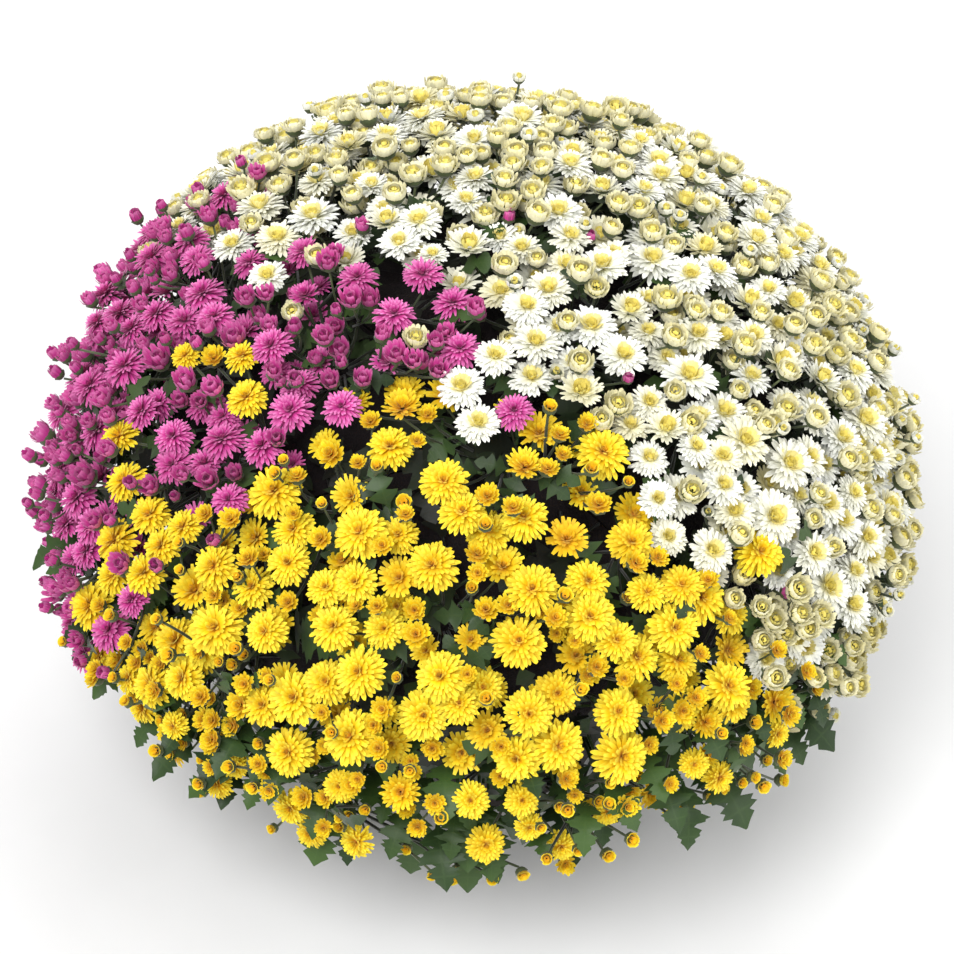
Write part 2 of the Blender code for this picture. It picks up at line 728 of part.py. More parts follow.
def leaf_shape(root, along, up, petiole, length, face_normal):
    """Corners of a leaf: its root on a face, its neck, its lobed outline and its two middles."""
    side = np.cross(along, up)
    neck_centre = root + along * petiole
    neck = ring_points(neck_centre, along, -up, [PETIOLE_RADIUS] * 3, [0.0] * 3)
    sink = [((point - root) @ face_normal) / (along @ face_normal) for point in neck]
    root_ring = [point - along * depth for point, depth in zip(neck, sink)]

    def on_blade(share, out):
        arch = length * (LEAF_ARCH * math.sin(math.pi * share) - LEAF_DROOP * share * share)
        return neck_centre + along * (length * share) + side * (length * LEAF_WIDTH / 2 * out) + up * arch

    outline = [on_blade(share, out) for share, out in LEAF_HALF]
    outline.append(on_blade(1.0, 0.0))
    outline += [on_blade(share, -out) for share, out in reversed(LEAF_HALF)]
    middle = on_blade(LEAF_MIDDLE, 0.0)
    half = up * LEAF_THICKNESS / 2
    return root_ring + neck + outline + [middle + half, middle - half]


def leaf_faces():
    """Faces of a leaf over the corners that leaf_shape gives, open at the root."""
    count = 2 * len(LEAF_HALF) + 1
    outline = [6 + index for index in range(count)]
    over, under = 6 + count, 7 + count
    stalk = []
    for index in range(3):
        after = (index + 1) % 3
        stalk.append((index, after, 3 + after))
        stalk.append((index, 3 + after, 3 + index))
    top = [5] + outline + [4]
    low = top[::-1] + [3]
    blade = [(*pair, over) for pair in zip(top, top[1:] + top[:1])]
    blade += [(*pair, under) for pair in zip(low, low[1:] + low[:1])]
    return stalk, blade


def leaf_is_clear(points, faces, standing, bush):
    """True where a leaf touches nothing that stands already and keeps off the bush."""
    corners = [Vector(point) for point in points]
    stalk, blade = faces
    tree = BVHTree.FromPolygons(corners, stalk + blade)
    for other in standing:
        if other.overlap(tree):
            return False
        if any(other.find_nearest(corner, LEAF_CLEARANCE)[0] for corner in corners[3:]):
            return False
    edges = [(corners[a] + corners[b]) / 2 for a, b, _ in blade]
    if any(other.find_nearest(edge, LEAF_CLEARANCE)[0] for other in standing for edge in edges):
        return False
    return not any(bush.find_nearest(corner, LEAF_CLEARANCE)[0] for corner in corners[3:] + edges)


def root_band(face, root):
    """Triangles that close a face round a leaf's root, or None where they would fold."""
    corners = [np.array(corner.co) for corner in face.verts]
    normal = np.array(face.normal)
    points = corners + root
    triangles = band(corners, root, sum(root) / 3, *frame_along(normal, FRAME_HINT))
    for a, b, c in triangles:
        if np.cross(points[b] - points[a], points[c] - points[a]) @ normal < LEAST_PART:
            return None
    return triangles


def grow_leaf(bm, face, triangles, points, faces):
    """Draws a leaf out of one triangle of the bush."""
    verts = list(face.verts)
    bm.faces.remove(face)
    verts += [bm.verts.new(point) for point in points]
    for triangle in triangles:
        bm.faces.new([verts[index] for index in triangle])
    for triangle in faces[0] + faces[1]:
        bm.faces.new([verts[3 + index] for index in triangle])


def face_has_room(face, points):
    """True where all the points lie well inside a triangle."""
    corners = [corner.co for corner in face.verts]
    for first, second in zip(corners, corners[1:] + corners[:1]):
        inward = face.normal.cross(second - first).normalized()
        if any((Vector(point) - first).dot(inward) < ROOT_MARGIN for point in points):
            return False
    return True


def leaf_aims(draw):
    """Directions of the leaves from the dome's middle, each with how steeply and how far it grows."""
    aims = []
    for index in range(SKIRT_LEAVES * SKIRT_ROUNDS):
        turn = (index + draw.uniform(-SKIRT_SCATTER, SKIRT_SCATTER)) * math.tau / SKIRT_LEAVES
        low = draw.uniform(*SKIRT_HEIGHTS)
        aims.append((direction_at(low, turn), "skirt"))
    for index in range(INNER_TRIES):
        height = 1.0 - (index % INNER_SPREAD + 0.5) / INNER_SPREAD * INNER_SPAN
        aims.append((direction_at(height, index * GOLDEN_ANGLE), "inner"))
    return aims


def leaf_directions(draw, place, out):
    """Which way a leaf grows and which way its upper side looks, for the outward direction at its root."""
    turn, rise = draw.uniform(0.0, math.tau), math.radians(draw.uniform(*LEAF_RISE))
    if place == "skirt":
        level = unit(np.array((out[0], out[1], -SKIRT_FALL - SKIRT_FALL_SPREAD * math.sin(turn))))
        rise = SKIRT_RISE
        up = np.array((0.0, 0.0, 1.0))
    else:
        side, front = frame_along(out, FRAME_HINT)
        level = side * math.cos(turn) + front * math.sin(turn)
        up = out
    along = unit(level * math.cos(rise) + out * math.sin(rise))
    return along, unit(up - along * (up @ along))


def leaf_seat(bushes, direction):
    """The bush, triangle, point and normal under a direction from the dome's middle, or None."""
    out = dome_normal(direction)
    far = Vector(dome_point(direction, 0.0))
    for bm in bushes:
        hit, normal, index, _ = BVHTree.FromBMesh(bm).ray_cast(far, Vector(-out), LEAF_CAST)
        if hit is not None and normal.dot(Vector(out)) >= LEAST_LEAF_FACING:
            bm.normal_update()
            bm.faces.ensure_lookup_table()
            return bm, bm.faces[index], np.array(hit), np.array(normal)
    return None


def add_leaves(bushes, sprays):
    """Grows the leaves, the hanging skirt first, wherever one stands clear of the rest."""
    draw = np.random.default_rng(SEED + 1)
    bush = joined_tree(bushes)
    standing = [sprays]
    faces = leaf_faces()
    for direction, place in leaf_aims(draw):
        along, up = leaf_directions(draw, place, dome_normal(direction))
        length, petiole = draw.uniform(*LEAF_LENGTH), draw.uniform(*PETIOLE_LENGTH)
        seat = leaf_seat(bushes, direction)
        if seat is None or len(standing) > LEAF_COUNT:
            continue
        bm, face, root, normal = seat
        if along @ normal < LEAST_LEAF_LIFT:
            continue
        petiole += SKIRT_PETIOLE if place == "skirt" else 0.0
        points = leaf_shape(root, along, up, petiole, length, normal)
        triangles = root_band(face, points[:3]) if face_has_room(face, points[:3]) else None
        if triangles and leaf_is_clear(points, faces, standing, bush):
            grow_leaf(bm, face, triangles, points, faces)
            corners = [Vector(point) for point in points]
            standing.append(BVHTree.FromPolygons(corners, faces[0] + faces[1]))


def joined_tree(bmeshes):
    """One search tree over the faces of several bmeshes."""
    corners, triangles = [], []
    for bm in bmeshes:
        bm.verts.index_update()
        start = len(corners)
        corners += [corner.co.copy() for corner in bm.verts]
        triangles += [[start + corner.index for corner in face.verts] for face in bm.faces]
    return BVHTree.FromPolygons(corners, triangles)


def main():
    """Clears the scene and builds the pot, the soil, the sprays and the leafy bushes."""
    for item in list(bpy.data.objects):
        bpy.data.objects.remove(item)
    collection = bpy.data.collections.new("pot_chrysanthemum")
    cutters = bpy.data.collections.new("cutters")
    cutters.hide_render = True
    for group in (collection, cutters):
        bpy.context.scene.collection.children.link(group)
    build_pot(collection, cutters)
    build_soil(collection, cutters)
    forks = plan_forks()
    plan_heads(forks)
    bushes = {plant: join_trunk(bush_of(plant), plant) for plant in TRUNK_REACH}
    ground = joined_tree(bushes.values())
    sprays = {}
    for plant in TRUNK_REACH:
        own = [spray for spray in forks if spray["plant"] == plant and len(spray["heads"]) >= LEAST_HEADS]
        for number, spray in enumerate(own, 1):
            sprays[f"{plant}_spray_{number:02d}"] = (plant, build_clear_spray(spray, ground))
    add_leaves(bushes.values(), joined_tree(bm for _, bm in sprays.values()))
    for name, (plant, bm) in sprays.items():
        add_object(name, mesh_from(bm, name), plant, collection)
    for plant, bm in bushes.items():
        name = f"{plant}_foliage"
        add_object(name, mesh_from(bm, name), "foliage", collection)


main()
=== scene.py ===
"""Looks of the pot chrysanthemum: a yellow, a pink and a white plant in one pot, round a fixed frame.

Metres, +Z up. The frame's spray nodes say where every head stands, and each is drawn again petal by petal,
with the finer heads, stalks, leaves, soil and pot that the plain solids stand for.
"""

import json
import logging
import math
from dataclasses import dataclass, field, replace
from enum import Enum
from typing import Iterable

import bmesh
import bpy
import numpy as np
from mathutils import Matrix, Vector, noise

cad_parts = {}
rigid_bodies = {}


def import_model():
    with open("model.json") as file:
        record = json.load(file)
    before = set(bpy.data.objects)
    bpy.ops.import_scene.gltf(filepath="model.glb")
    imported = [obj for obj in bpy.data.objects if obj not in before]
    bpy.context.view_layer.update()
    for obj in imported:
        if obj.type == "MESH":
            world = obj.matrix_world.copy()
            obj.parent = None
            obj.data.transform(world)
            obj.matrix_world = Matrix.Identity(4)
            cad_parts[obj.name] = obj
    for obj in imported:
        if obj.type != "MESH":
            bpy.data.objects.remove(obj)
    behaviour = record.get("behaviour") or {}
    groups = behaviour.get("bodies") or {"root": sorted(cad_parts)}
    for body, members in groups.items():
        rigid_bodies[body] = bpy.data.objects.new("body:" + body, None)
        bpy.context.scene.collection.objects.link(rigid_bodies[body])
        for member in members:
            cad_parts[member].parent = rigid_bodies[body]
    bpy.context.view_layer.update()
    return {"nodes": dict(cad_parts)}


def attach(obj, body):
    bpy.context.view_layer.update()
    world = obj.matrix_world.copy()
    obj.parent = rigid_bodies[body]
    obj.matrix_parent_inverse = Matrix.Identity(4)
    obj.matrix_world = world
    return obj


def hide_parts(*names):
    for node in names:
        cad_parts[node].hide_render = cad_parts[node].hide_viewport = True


LOG = logging.getLogger("pot_chrysanthemum")
BODY = "root"
MERGE = 0.00002
SEED = 7
GOLDEN_ANGLE = math.pi * (3.0 - math.sqrt(5.0))
UP = Vector((0.0, 0.0, 1.0))
HINT = Vector((0.31, 0.77, 0.55))


class Plant(Enum):
    """The three plants that share the pot."""

    YELLOW = "yellow"
    WHITE = "white"
    PINK = "pink"


class Stage(Enum):
    """How far a head has opened."""

    BLOOM = "bloom"
    HALF = "half"
    SHADED = "shaded"
    CUP = "cup"
    BUD = "bud"


# How many corners the frame's solids give the rim of a head at each stage
RIM_CORNERS = {10: Stage.BLOOM, 8: Stage.SHADED, 5: Stage.CUP, 4: Stage.BUD}
# The sizes by which a neck and a leaf blade are known in the frame's solids
NECK_SIDE = 0.0015 * math.sqrt(3.0)
NECK_TOLERANCE = 0.00004
BLADE_CORNERS = 11
BLADE_THICKNESS = 0.0014
BLADE_TOLERANCE = 0.00012
BLADE_DROOP = 0.22


@dataclass
class Head:
    """One flower head with the stalk that carries it."""

    plant: Plant
    stage: Stage
    middle: Vector
    axis: Vector
    radius: float
    base: Vector
    root: Vector
    # How far the head's petals are mixed towards their painted shade colour; on white cups their own cream
    shade: float = 0.0


@dataclass
class LeafSeat:
    """Where one leaf grows: its root, its blade's start, its two directions, its length and the painted shade
    that darkens it.
    """

    root: Vector
    start: Vector
    along: Vector
    up: Vector
    length: float
    shade: float = 0.0


def across_to(axis: Vector, hint: Vector) -> Vector:
    """The unit vector square to an axis that lies nearest to a hint."""
    return (hint - axis * hint.dot(axis)).normalized()


def frame_of(axis: Vector, hint: Vector, place: Vector) -> Matrix:
    """The transform that stands a shape's +Z along an axis at a place.

    Args:
        axis: Unit direction for the shape's +Z.
        hint: Direction near which the shape's +X is put.
        place: Where the shape's origin goes.

    Returns:
        The transform as a 4 by 4 matrix.
    """
    side = across_to(axis, hint)
    turn = Matrix((side, axis.cross(side), axis)).transposed().to_4x4()
    return Matrix.Translation(place) @ turn


def smooth_step(low: float, high: float, value: float) -> float:
    """A soft rise from 0 at the low value to 1 at the high one."""
    share = min(1.0, max(0.0, (value - low) / (high - low)))
    return share * share * (3.0 - 2.0 * share)


# How near corners are joined, in metres
DOUBLES = 0.00001


def fresh_bmesh() -> bmesh.types.BMesh:
    """An empty bmesh with the marks that the finishes read."""
    bm = bmesh.new()
    bm.verts.layers.float_color.new("petal")
    bm.verts.layers.float.new("shade")
    return bm


def to_mesh(bm: bmesh.types.BMesh, name: str) -> bpy.types.Mesh:
    """A bmesh's mesh. The bmesh is freed."""
    mesh = bpy.data.meshes.new(name)
    bm.to_mesh(mesh)
    bm.free()
    return mesh


def to_scene(name: str, data: bpy.types.ID) -> bpy.types.Object:
    """A new object with this data, linked to the scene."""
    item = bpy.data.objects.new(name, data)
    bpy.context.scene.collection.objects.link(item)
    return item


def round_off(bm: bmesh.types.BMesh) -> None:
    """Shades every face of a bmesh smooth."""
    for face in bm.faces:
        face.smooth = True


def spin_outline(bm: bmesh.types.BMesh, outline: Iterable, steps: int, merge: float) -> None:
    """Turns an outline round the vertical into a shell with its faces outwards.

    Args:
        bm: The mesh to add to.
        outline: The radius and height of its corners, in order.
        steps: How many sides the shell gets.
        merge: How near two corners are joined.
    """
    chain = [bm.verts.new((radius, 0.0, height)) for radius, height in outline]
    edges = [bm.edges.new(pair) for pair in zip(chain, chain[1:])]
    bmesh.ops.spin(bm, geom=chain + edges, cent=(0.0, 0.0, 0.0), axis=(0.0, 0.0, 1.0), angle=math.tau,
                   steps=steps, use_merge=True)
    bmesh.ops.remove_doubles(bm, verts=bm.verts, dist=merge)
    bmesh.ops.recalc_face_normals(bm, faces=bm.faces)


def merged_copy(item: bpy.types.Object) -> bmesh.types.BMesh:
    """A bmesh copy of a frame node with its loose triangles joined."""
    bm = bmesh.new()
    bm.from_mesh(item.data)
    bmesh.ops.remove_doubles(bm, verts=bm.verts, dist=MERGE)
    return bm


def neighbours(vert: bmesh.types.BMVert) -> set:
    """The corners that share an edge with this one."""
    return {edge.other_vert(vert) for edge in vert.link_edges}


def mean_place(verts: Iterable) -> Vector:
    """The middle of some corners."""
    places = [vert.co for vert in verts]
    return sum(places, Vector()) / len(places)


@dataclass
class Dome:
    """The shape that the outermost blooms lie on, and the line round which the plants meet."""

    radius: float = 0.275
    rise: float = 0.235
    drop: float = 0.205
    middle: float = 0.225
    crown: tuple = (0.0, -0.02, 0.165)
    meeting: tuple = (0.036, -0.152, 0.420)
    white_from: float = -37.0
    pink_from: float = 136.0
    yellow_from: float = 190.0
    white_overhang: tuple = ((0.03, 0.10), (18.0, 0.0))
    pink_overhang: tuple = ((0.06, 0.15), (-30.0, 0.0))
    yellow_overhang: tuple = ((0.05, 0.16, 0.22, 0.27), (-26.0, 2.0, 0.0, 8.0))

    def point(self, direction: Vector, inset: float) -> Vector:
        """The dome's point, moved in by the inset, for a unit direction from its middle."""
        rise = self.rise if direction.z > 0.0 else self.drop
        flat = self.radius - inset
        return Vector((direction.x * flat, direction.y * flat, self.middle + direction.z * (rise - inset)))

    def normal(self, direction: Vector) -> Vector:
        """The outward unit normal for a unit direction from the dome's middle."""
        rise = self.rise if direction.z > 0.0 else self.drop
        return Vector((direction.x / self.radius, direction.y / self.radius, direction.z / rise)).normalized()

    def direction(self, height: float, turn: float) -> Vector:
        """The unit direction with this upward part, turned round the vertical."""
        flat = math.sqrt(max(0.0, 1.0 - height * height))
        return Vector((flat * math.cos(turn), flat * math.sin(turn), height))

    def toward(self, point: Vector) -> Vector:
        """The unit direction from the dome's middle that passes through a point near its surface."""
        offset = point - Vector((0.0, 0.0, self.middle))
        rise = self.rise if offset.z > 0.0 else self.drop
        return Vector((offset.x / self.radius, offset.y / self.radius, offset.z / rise)).normalized()

    def leaning_axes(self) -> tuple:
        """The crown, the line of meeting and the two directions square to it."""
        crown = Vector(self.crown)
        line = (Vector(self.meeting) - crown).normalized()
        across = across_to(line, Vector((1.0, 0.0, 0.0)))
        return crown, line, across, line.cross(across)

    def plant_at(self, point: Vector, scatter: float = 0.0) -> Plant:
        """The plant whose share of the dome holds a point.

        Args:
            point: The place to look at.
            scatter: Degrees by which the border is taken to have moved there.

        Returns:
            The plant that grows there.
        """
        crown, _, across, back = self.leaning_axes()
        offset = point - crown
        out, up = offset.dot(across), offset.dot(back)
        turn = (math.degrees(math.atan2(up, out)) + scatter) % 360.0
        distance = math.hypot(out, up)
        pink_from = self.pink_from + np.interp(distance, *self.pink_overhang)
        yellow_from = self.yellow_from + np.interp(distance, *self.yellow_overhang)
        white_from = self.white_from + np.interp(distance, *self.white_overhang)
        if pink_from <= turn < yellow_from:
            return Plant.PINK
        if yellow_from <= turn < 360.0 + white_from:
            return Plant.YELLOW
        return Plant.WHITE

    def border_planes(self, plant: Plant) -> tuple:
        """Normals, towards a plant's share, of the two planes through the line of meeting that bound it."""
        start, end = {Plant.WHITE: (self.white_from, self.pink_from),
                      Plant.PINK: (self.pink_from, self.yellow_from),
                      Plant.YELLOW: (self.yellow_from, 360.0 + self.white_from)}[plant]
        _, line, across, back = self.leaning_axes()
        normals = []
        for degrees, sign in ((start, 1.0), (end, -1.0)):
            angle = math.radians(degrees)
            normals.append(line.cross(math.cos(angle) * across + math.sin(angle) * back) * sign)
        return tuple(normals)


@dataclass
class View:
    """The photograph's camera, level with its sides and looking down on the dome."""

    target: tuple = (0.0, 0.0, 0.225)
    elevation: float = math.radians(42.0)
    distance: float = 1.9
    focal_pixels: float = 2892.0
    image_pixels: float = 954.0
    sensor: float = 36.0
    shift_right: float = -1.0
    shift_up: float = 3.0

    def eye(self) -> Vector:
        """Where the camera stands."""
        back = Vector((0.0, -math.cos(self.elevation), math.sin(self.elevation)))
        return Vector(self.target) + back * self.distance

    def ray(self, right: float, down: float) -> Vector:
        """The unit direction from the camera through a pixel of the photograph."""
        ahead = (Vector(self.target) - self.eye()).normalized()
        across = ahead.cross(UP).normalized()
        above = across.cross(ahead)
        x = (right - self.image_pixels / 2 + self.shift_right) / self.focal_pixels
        y = (self.image_pixels / 2 - down + self.shift_up) / self.focal_pixels
        return (ahead + across * x + above * y).normalized()

    def on_dome(self, dome: Dome, right: float, down: float) -> Vector:
        """The dome's surface point that a pixel of the photograph shows."""
        way = self.ray(right, down)
        here = self.eye()
        size = Vector((dome.radius, dome.radius, dome.rise))
        origin = here - Vector((0.0, 0.0, dome.middle))
        flat_origin = Vector(a / b for a, b in zip(origin, size))
        flat_way = Vector(a / b for a, b in zip(way, size))
        first = flat_way.dot(flat_way)
        second = flat_origin.dot(flat_way)
        third = flat_origin.dot(flat_origin) - 1.0
        reach = (-second - math.sqrt(max(0.0, second * second - first * third))) / first
        return here + way * reach

    def build(self) -> None:
        """Makes the camera and lets the scene look through it."""
        camera = bpy.data.cameras.new("view")
        camera.sensor_width = self.sensor
        camera.lens = self.focal_pixels / self.image_pixels * self.sensor
        camera.shift_x = -self.shift_right / self.image_pixels
        camera.shift_y = self.shift_up / self.image_pixels
        camera.clip_end = 20.0
        item = to_scene("view", camera)
        item.location = self.eye()
        ahead = Vector(self.target) - self.eye()
        item.rotation_euler = ahead.to_track_quat("-Z", "Y").to_euler()
        bpy.context.scene.camera = item


class FrameReader:
    """Reads the heads and the leaves off the frame's plain solids."""

    def heads(self, name: str, item: bpy.types.Object) -> list:
        """The heads that a spray's node carries.

        Args:
            name: The node's name, which begins with its plant.
            item: The node's object.

        Returns:
            One Head for each neck found in the solid.
        """
        plant = Plant(name.split("_")[0])
        bm = merged_copy(item)
        found = []
        for neck in self.necks(bm):
            close = set().union(*(neighbours(vert) for vert in neck)) - neck
            outer = set().union(*(neighbours(vert) for vert in close)) - close - neck
            eyes = [vert for vert in outer
                    if neighbours(vert) <= close and len(vert.link_edges) in RIM_CORNERS]
            if not eyes:
                continue
            rim = neighbours(eyes[0])
            base, middle = mean_place(neck), mean_place(rim)
            axis = (middle - base).normalized()
            radius = max((vert.co - middle - axis * (vert.co - middle).dot(axis)).length for vert in rim)
            found.append(Head(plant, RIM_CORNERS[len(rim)], middle, axis, radius, base,
                              mean_place(close - rim)))
        bm.free()
        return found

    def necks(self, bm: bmesh.types.BMesh) -> list:
        """The rings of three corners at which stalks open into heads."""
        short = [edge for edge in bm.edges if abs(edge.calc_length() - NECK_SIDE) < NECK_TOLERANCE]
        linked = {}
        for edge in short:
            first, second = edge.verts
            linked.setdefault(first, set()).add(second)
            linked.setdefault(second, set()).add(first)
        faces = {frozenset(face.verts) for face in bm.faces}
        rings = set()
        for edge in short:
            first, second = edge.verts
            for third in linked[first] & linked[second]:
                ring = frozenset((first, second, third))
                if ring not in faces:
                    rings.add(ring)
        return sorted(rings, key=lambda ring: tuple(mean_place(ring)))

    def leaves(self, item: bpy.types.Object) -> list:
        """The leaves that a foliage node carries, found by their two blade middles."""
        bm = merged_copy(item)
        found = []
        for over in [vert for vert in bm.verts if len(vert.link_edges) == BLADE_CORNERS]:
            around = neighbours(over)
            second = set().union(*(neighbours(vert) for vert in around)) - around - {over}
            for under in second:
                gap = (over.co - under.co).length
                shared = len(neighbours(under) & around)
                if abs(gap - BLADE_THICKNESS) > BLADE_TOLERANCE or shared < BLADE_CORNERS - 1:
                    continue
                lone = (neighbours(under) - around).pop()
                neck = {lone} | (neighbours(lone) & around)
                root = set().union(*(neighbours(vert) for vert in neck)) - neck - around - {over, under}
                start = mean_place(neck)
                up = (over.co - under.co).normalized()
                tip = max(around, key=lambda vert: (vert.co - start).length).co - start
                along = across_to(up, tip)
                found.append(LeafSeat(mean_place(root), start, along, up, tip.dot(along)))
                break
        bm.free()
        return found


@dataclass(frozen=True)
class PetalRow:
    """One ring of petals, in shares of the bloom's radius, with rises in degrees at root and tip."""

    count: int
    length: float
    width: float
    start: float
    height: float
    rise: float
    tip_rise: float
    steps: int = 3
    strips: int = 2
    groove: float = 0.35


# Where along a petal its grid's rows lie, by their number, and how wide it is at four places, by plant
PETAL_STOPS = {2: (0.0, 0.60, 1.0), 3: (0.0, 0.42, 0.84, 1.0)}
TAPER_STOPS = (0.0, 0.42, 0.84, 1.0)
TAPERS = {Plant.YELLOW: (0.45, 0.88, 1.00, 0.58), Plant.WHITE: (0.60, 1.00, 1.00, 0.54),
          Plant.PINK: (0.45, 0.92, 0.98, 0.46)}
CUP_TAPER = (0.62, 1.00, 1.00, 0.80)


@dataclass
class HeadMaker:
    """Makes the shapes of heads, at radius one with their face up, from rows of petals."""

    rows: tuple
    variants: int
    name: str
    taper: tuple
    spread: float = 6.0
    bends: int = 8
    tip_from: float = 0.80
    tip_cut: float = 0.60
    lengths: tuple = (0.90, 1.07)
    widths: tuple = (0.88, 1.10)
    height_scatter: float = 0.012
    turn_scatter: float = 0.22
    opening: tuple = (4.0, 8.0)
    tip_lean: float = 1.6
    meshes: list = field(default_factory=list)

    def shape_petal(self, share: float, side: float, row: PetalRow) -> Vector:
        """Where a point of a petal lies.

        Args:
            share: How far along the petal, from 0 at its root to 1 at its tip.
            side: How far across it, from -1 to 1.
            row: The petal's own measures.

        Returns:
            The point, for a petal that leaves the middle along +X.
        """
        reach, lift = row.start, row.height
        step = share / self.bends
        for index in range(self.bends):
            rise = math.radians(row.rise + (row.tip_rise - row.rise) * (index + 0.5) * step)
            reach += row.length * step * math.cos(rise)
            lift += row.length * step * math.sin(rise)
        half = row.width * np.interp(share, TAPER_STOPS, self.taper)
        rise = math.radians(row.rise + (row.tip_rise - row.rise) * share)
        cup = row.groove * half * side * side
        back = self.tip_cut * row.width * abs(side) * smooth_step(self.tip_from, 1.0, share)
        return Vector((reach - cup * math.sin(rise) - back * math.cos(rise), half * side,
                       lift + cup * math.cos(rise) - back * math.sin(rise)))

    def add_petal(self, bm: bmesh.types.BMesh, row: PetalRow, turn: float, marks: tuple) -> None:
        """Adds one petal, bent from a flat grid, with its marks for the finish.

        Args:
            bm: The head's mesh.
            row: The petal's own measures.
            turn: The petal's direction round the head.
            marks: The ring that it stands in and its own tint, both from 0 to 1.
        """
        layer = bm.verts.layers.float_color["petal"]
        grid = bmesh.ops.create_grid(bm, x_segments=row.strips, y_segments=row.steps, size=1.0)["verts"]
        for vert in grid:
            side = vert.co.x
            share = PETAL_STOPS[row.steps][round((vert.co.y + 1.0) / 2.0 * row.steps)]
            vert.co = self.shape_petal(share, side, row)
            vert[layer] = (share, abs(side), *marks)
        bmesh.ops.rotate(bm, verts=grid, cent=Vector(), matrix=Matrix.Rotation(turn, 3, "Z"))

    def build(self, draw: np.random.Generator) -> None:
        """Makes the variants' meshes, with every petal a little different."""
        for number in range(self.variants):
            bm = fresh_bmesh()
            opened = draw.uniform(-1.0, 1.0)
            for ring, row in enumerate(self.rows):
                marks = 1.0 - ring / max(1, len(self.rows) - 1)
                for index in range(row.count):
                    lean = draw.normal(0.0, self.spread)
                    own = replace(row, length=row.length * draw.uniform(*self.lengths),
                                  width=row.width * draw.uniform(*self.widths),
                                  height=row.height + draw.normal(0.0, self.height_scatter),
                                  rise=row.rise + lean - self.opening[0] * opened,
                                  tip_rise=row.tip_rise + self.tip_lean * lean - self.opening[1] * opened)
                    shift = 0.5 * ring + draw.uniform(-self.turn_scatter, self.turn_scatter)
                    self.add_petal(bm, own, (index + shift) * math.tau / row.count, (marks, draw.uniform()))
            round_off(bm)
            self.meshes.append(to_mesh(bm, f"{self.name}_{number}"))


BLOOM_ROWS = {
    Plant.YELLOW: (
        PetalRow(27, 0.91, 0.090, 0.08, -0.08, 8.0, -26.0),
        PetalRow(25, 0.86, 0.090, 0.08, -0.01, 22.0, -12.0, 2),
        PetalRow(22, 0.77, 0.088, 0.07, 0.05, 36.0, 4.0, 2, 1),
        PetalRow(18, 0.64, 0.084, 0.06, 0.09, 49.0, 24.0, 2, 1),
        PetalRow(13, 0.51, 0.080, 0.04, 0.12, 62.0, 54.0, 2, 1),
        PetalRow(8, 0.38, 0.074, 0.03, 0.13, 76.0, 96.0, 2, 1),
    ),
    Plant.WHITE: (
        PetalRow(29, 0.92, 0.094, 0.07, -0.06, 12.0, 2.0),
        PetalRow(27, 0.87, 0.094, 0.07, 0.00, 22.0, 8.0, 2),
        PetalRow(23, 0.77, 0.094, 0.06, 0.04, 32.0, 20.0, 2, 1),
        PetalRow(18, 0.54, 0.092, 0.12, 0.05, 38.0, 84.0, 2, 1),
        PetalRow(13, 0.42, 0.092, 0.12, 0.05, 44.0, 128.0, 2, 1),
        PetalRow(8, 0.30, 0.088, 0.08, 0.05, 50.0, 140.0, 2, 1),
    ),
    Plant.PINK: (
        PetalRow(28, 0.91, 0.082, 0.08, -0.08, 6.0, -20.0),
        PetalRow(26, 0.85, 0.082, 0.08, -0.01, 20.0, -6.0, 2),
        PetalRow(22, 0.75, 0.082, 0.07, 0.04, 34.0, 10.0, 2, 1),
        PetalRow(18, 0.61, 0.080, 0.06, 0.08, 48.0, 32.0, 2, 1),
        PetalRow(12, 0.47, 0.078, 0.04, 0.10, 62.0, 68.0, 2, 1),
        PetalRow(7, 0.34, 0.074, 0.02, 0.10, 80.0, 104.0, 2, 1),
    ),
}
HALF_ROWS = {
    Plant.YELLOW: (
        PetalRow(21, 0.86, 0.106, 0.12, -0.16, 14.0, 34.0, 2),
        PetalRow(19, 0.76, 0.104, 0.10, -0.08, 30.0, 46.0, 2),
        PetalRow(14, 0.60, 0.100, 0.08, 0.00, 46.0, 66.0, 2, 1),
        PetalRow(9, 0.44, 0.092, 0.05, 0.04, 60.0, 96.0, 2, 1),
    ),
    Plant.WHITE: (
        PetalRow(26, 0.86, 0.104, 0.16, -0.18, 6.0, 36.0, 2),
        PetalRow(23, 0.74, 0.104, 0.16, -0.10, 20.0, 56.0, 2, 1),
        PetalRow(19, 0.54, 0.098, 0.22, -0.04, 44.0, 120.0, 2, 1),
        PetalRow(12, 0.44, 0.096, 0.12, -0.02, 52.0, 136.0, 2, 1),
    ),
    Plant.PINK: (
        PetalRow(21, 0.86, 0.098, 0.12, -0.16, 12.0, 40.0, 2),
        PetalRow(18, 0.76, 0.096, 0.10, -0.08, 28.0, 56.0, 2),
        PetalRow(13, 0.60, 0.092, 0.08, 0.00, 44.0, 76.0, 2, 1),
        PetalRow(8, 0.46, 0.086, 0.05, 0.04, 60.0, 98.0, 2, 1),
    ),
}
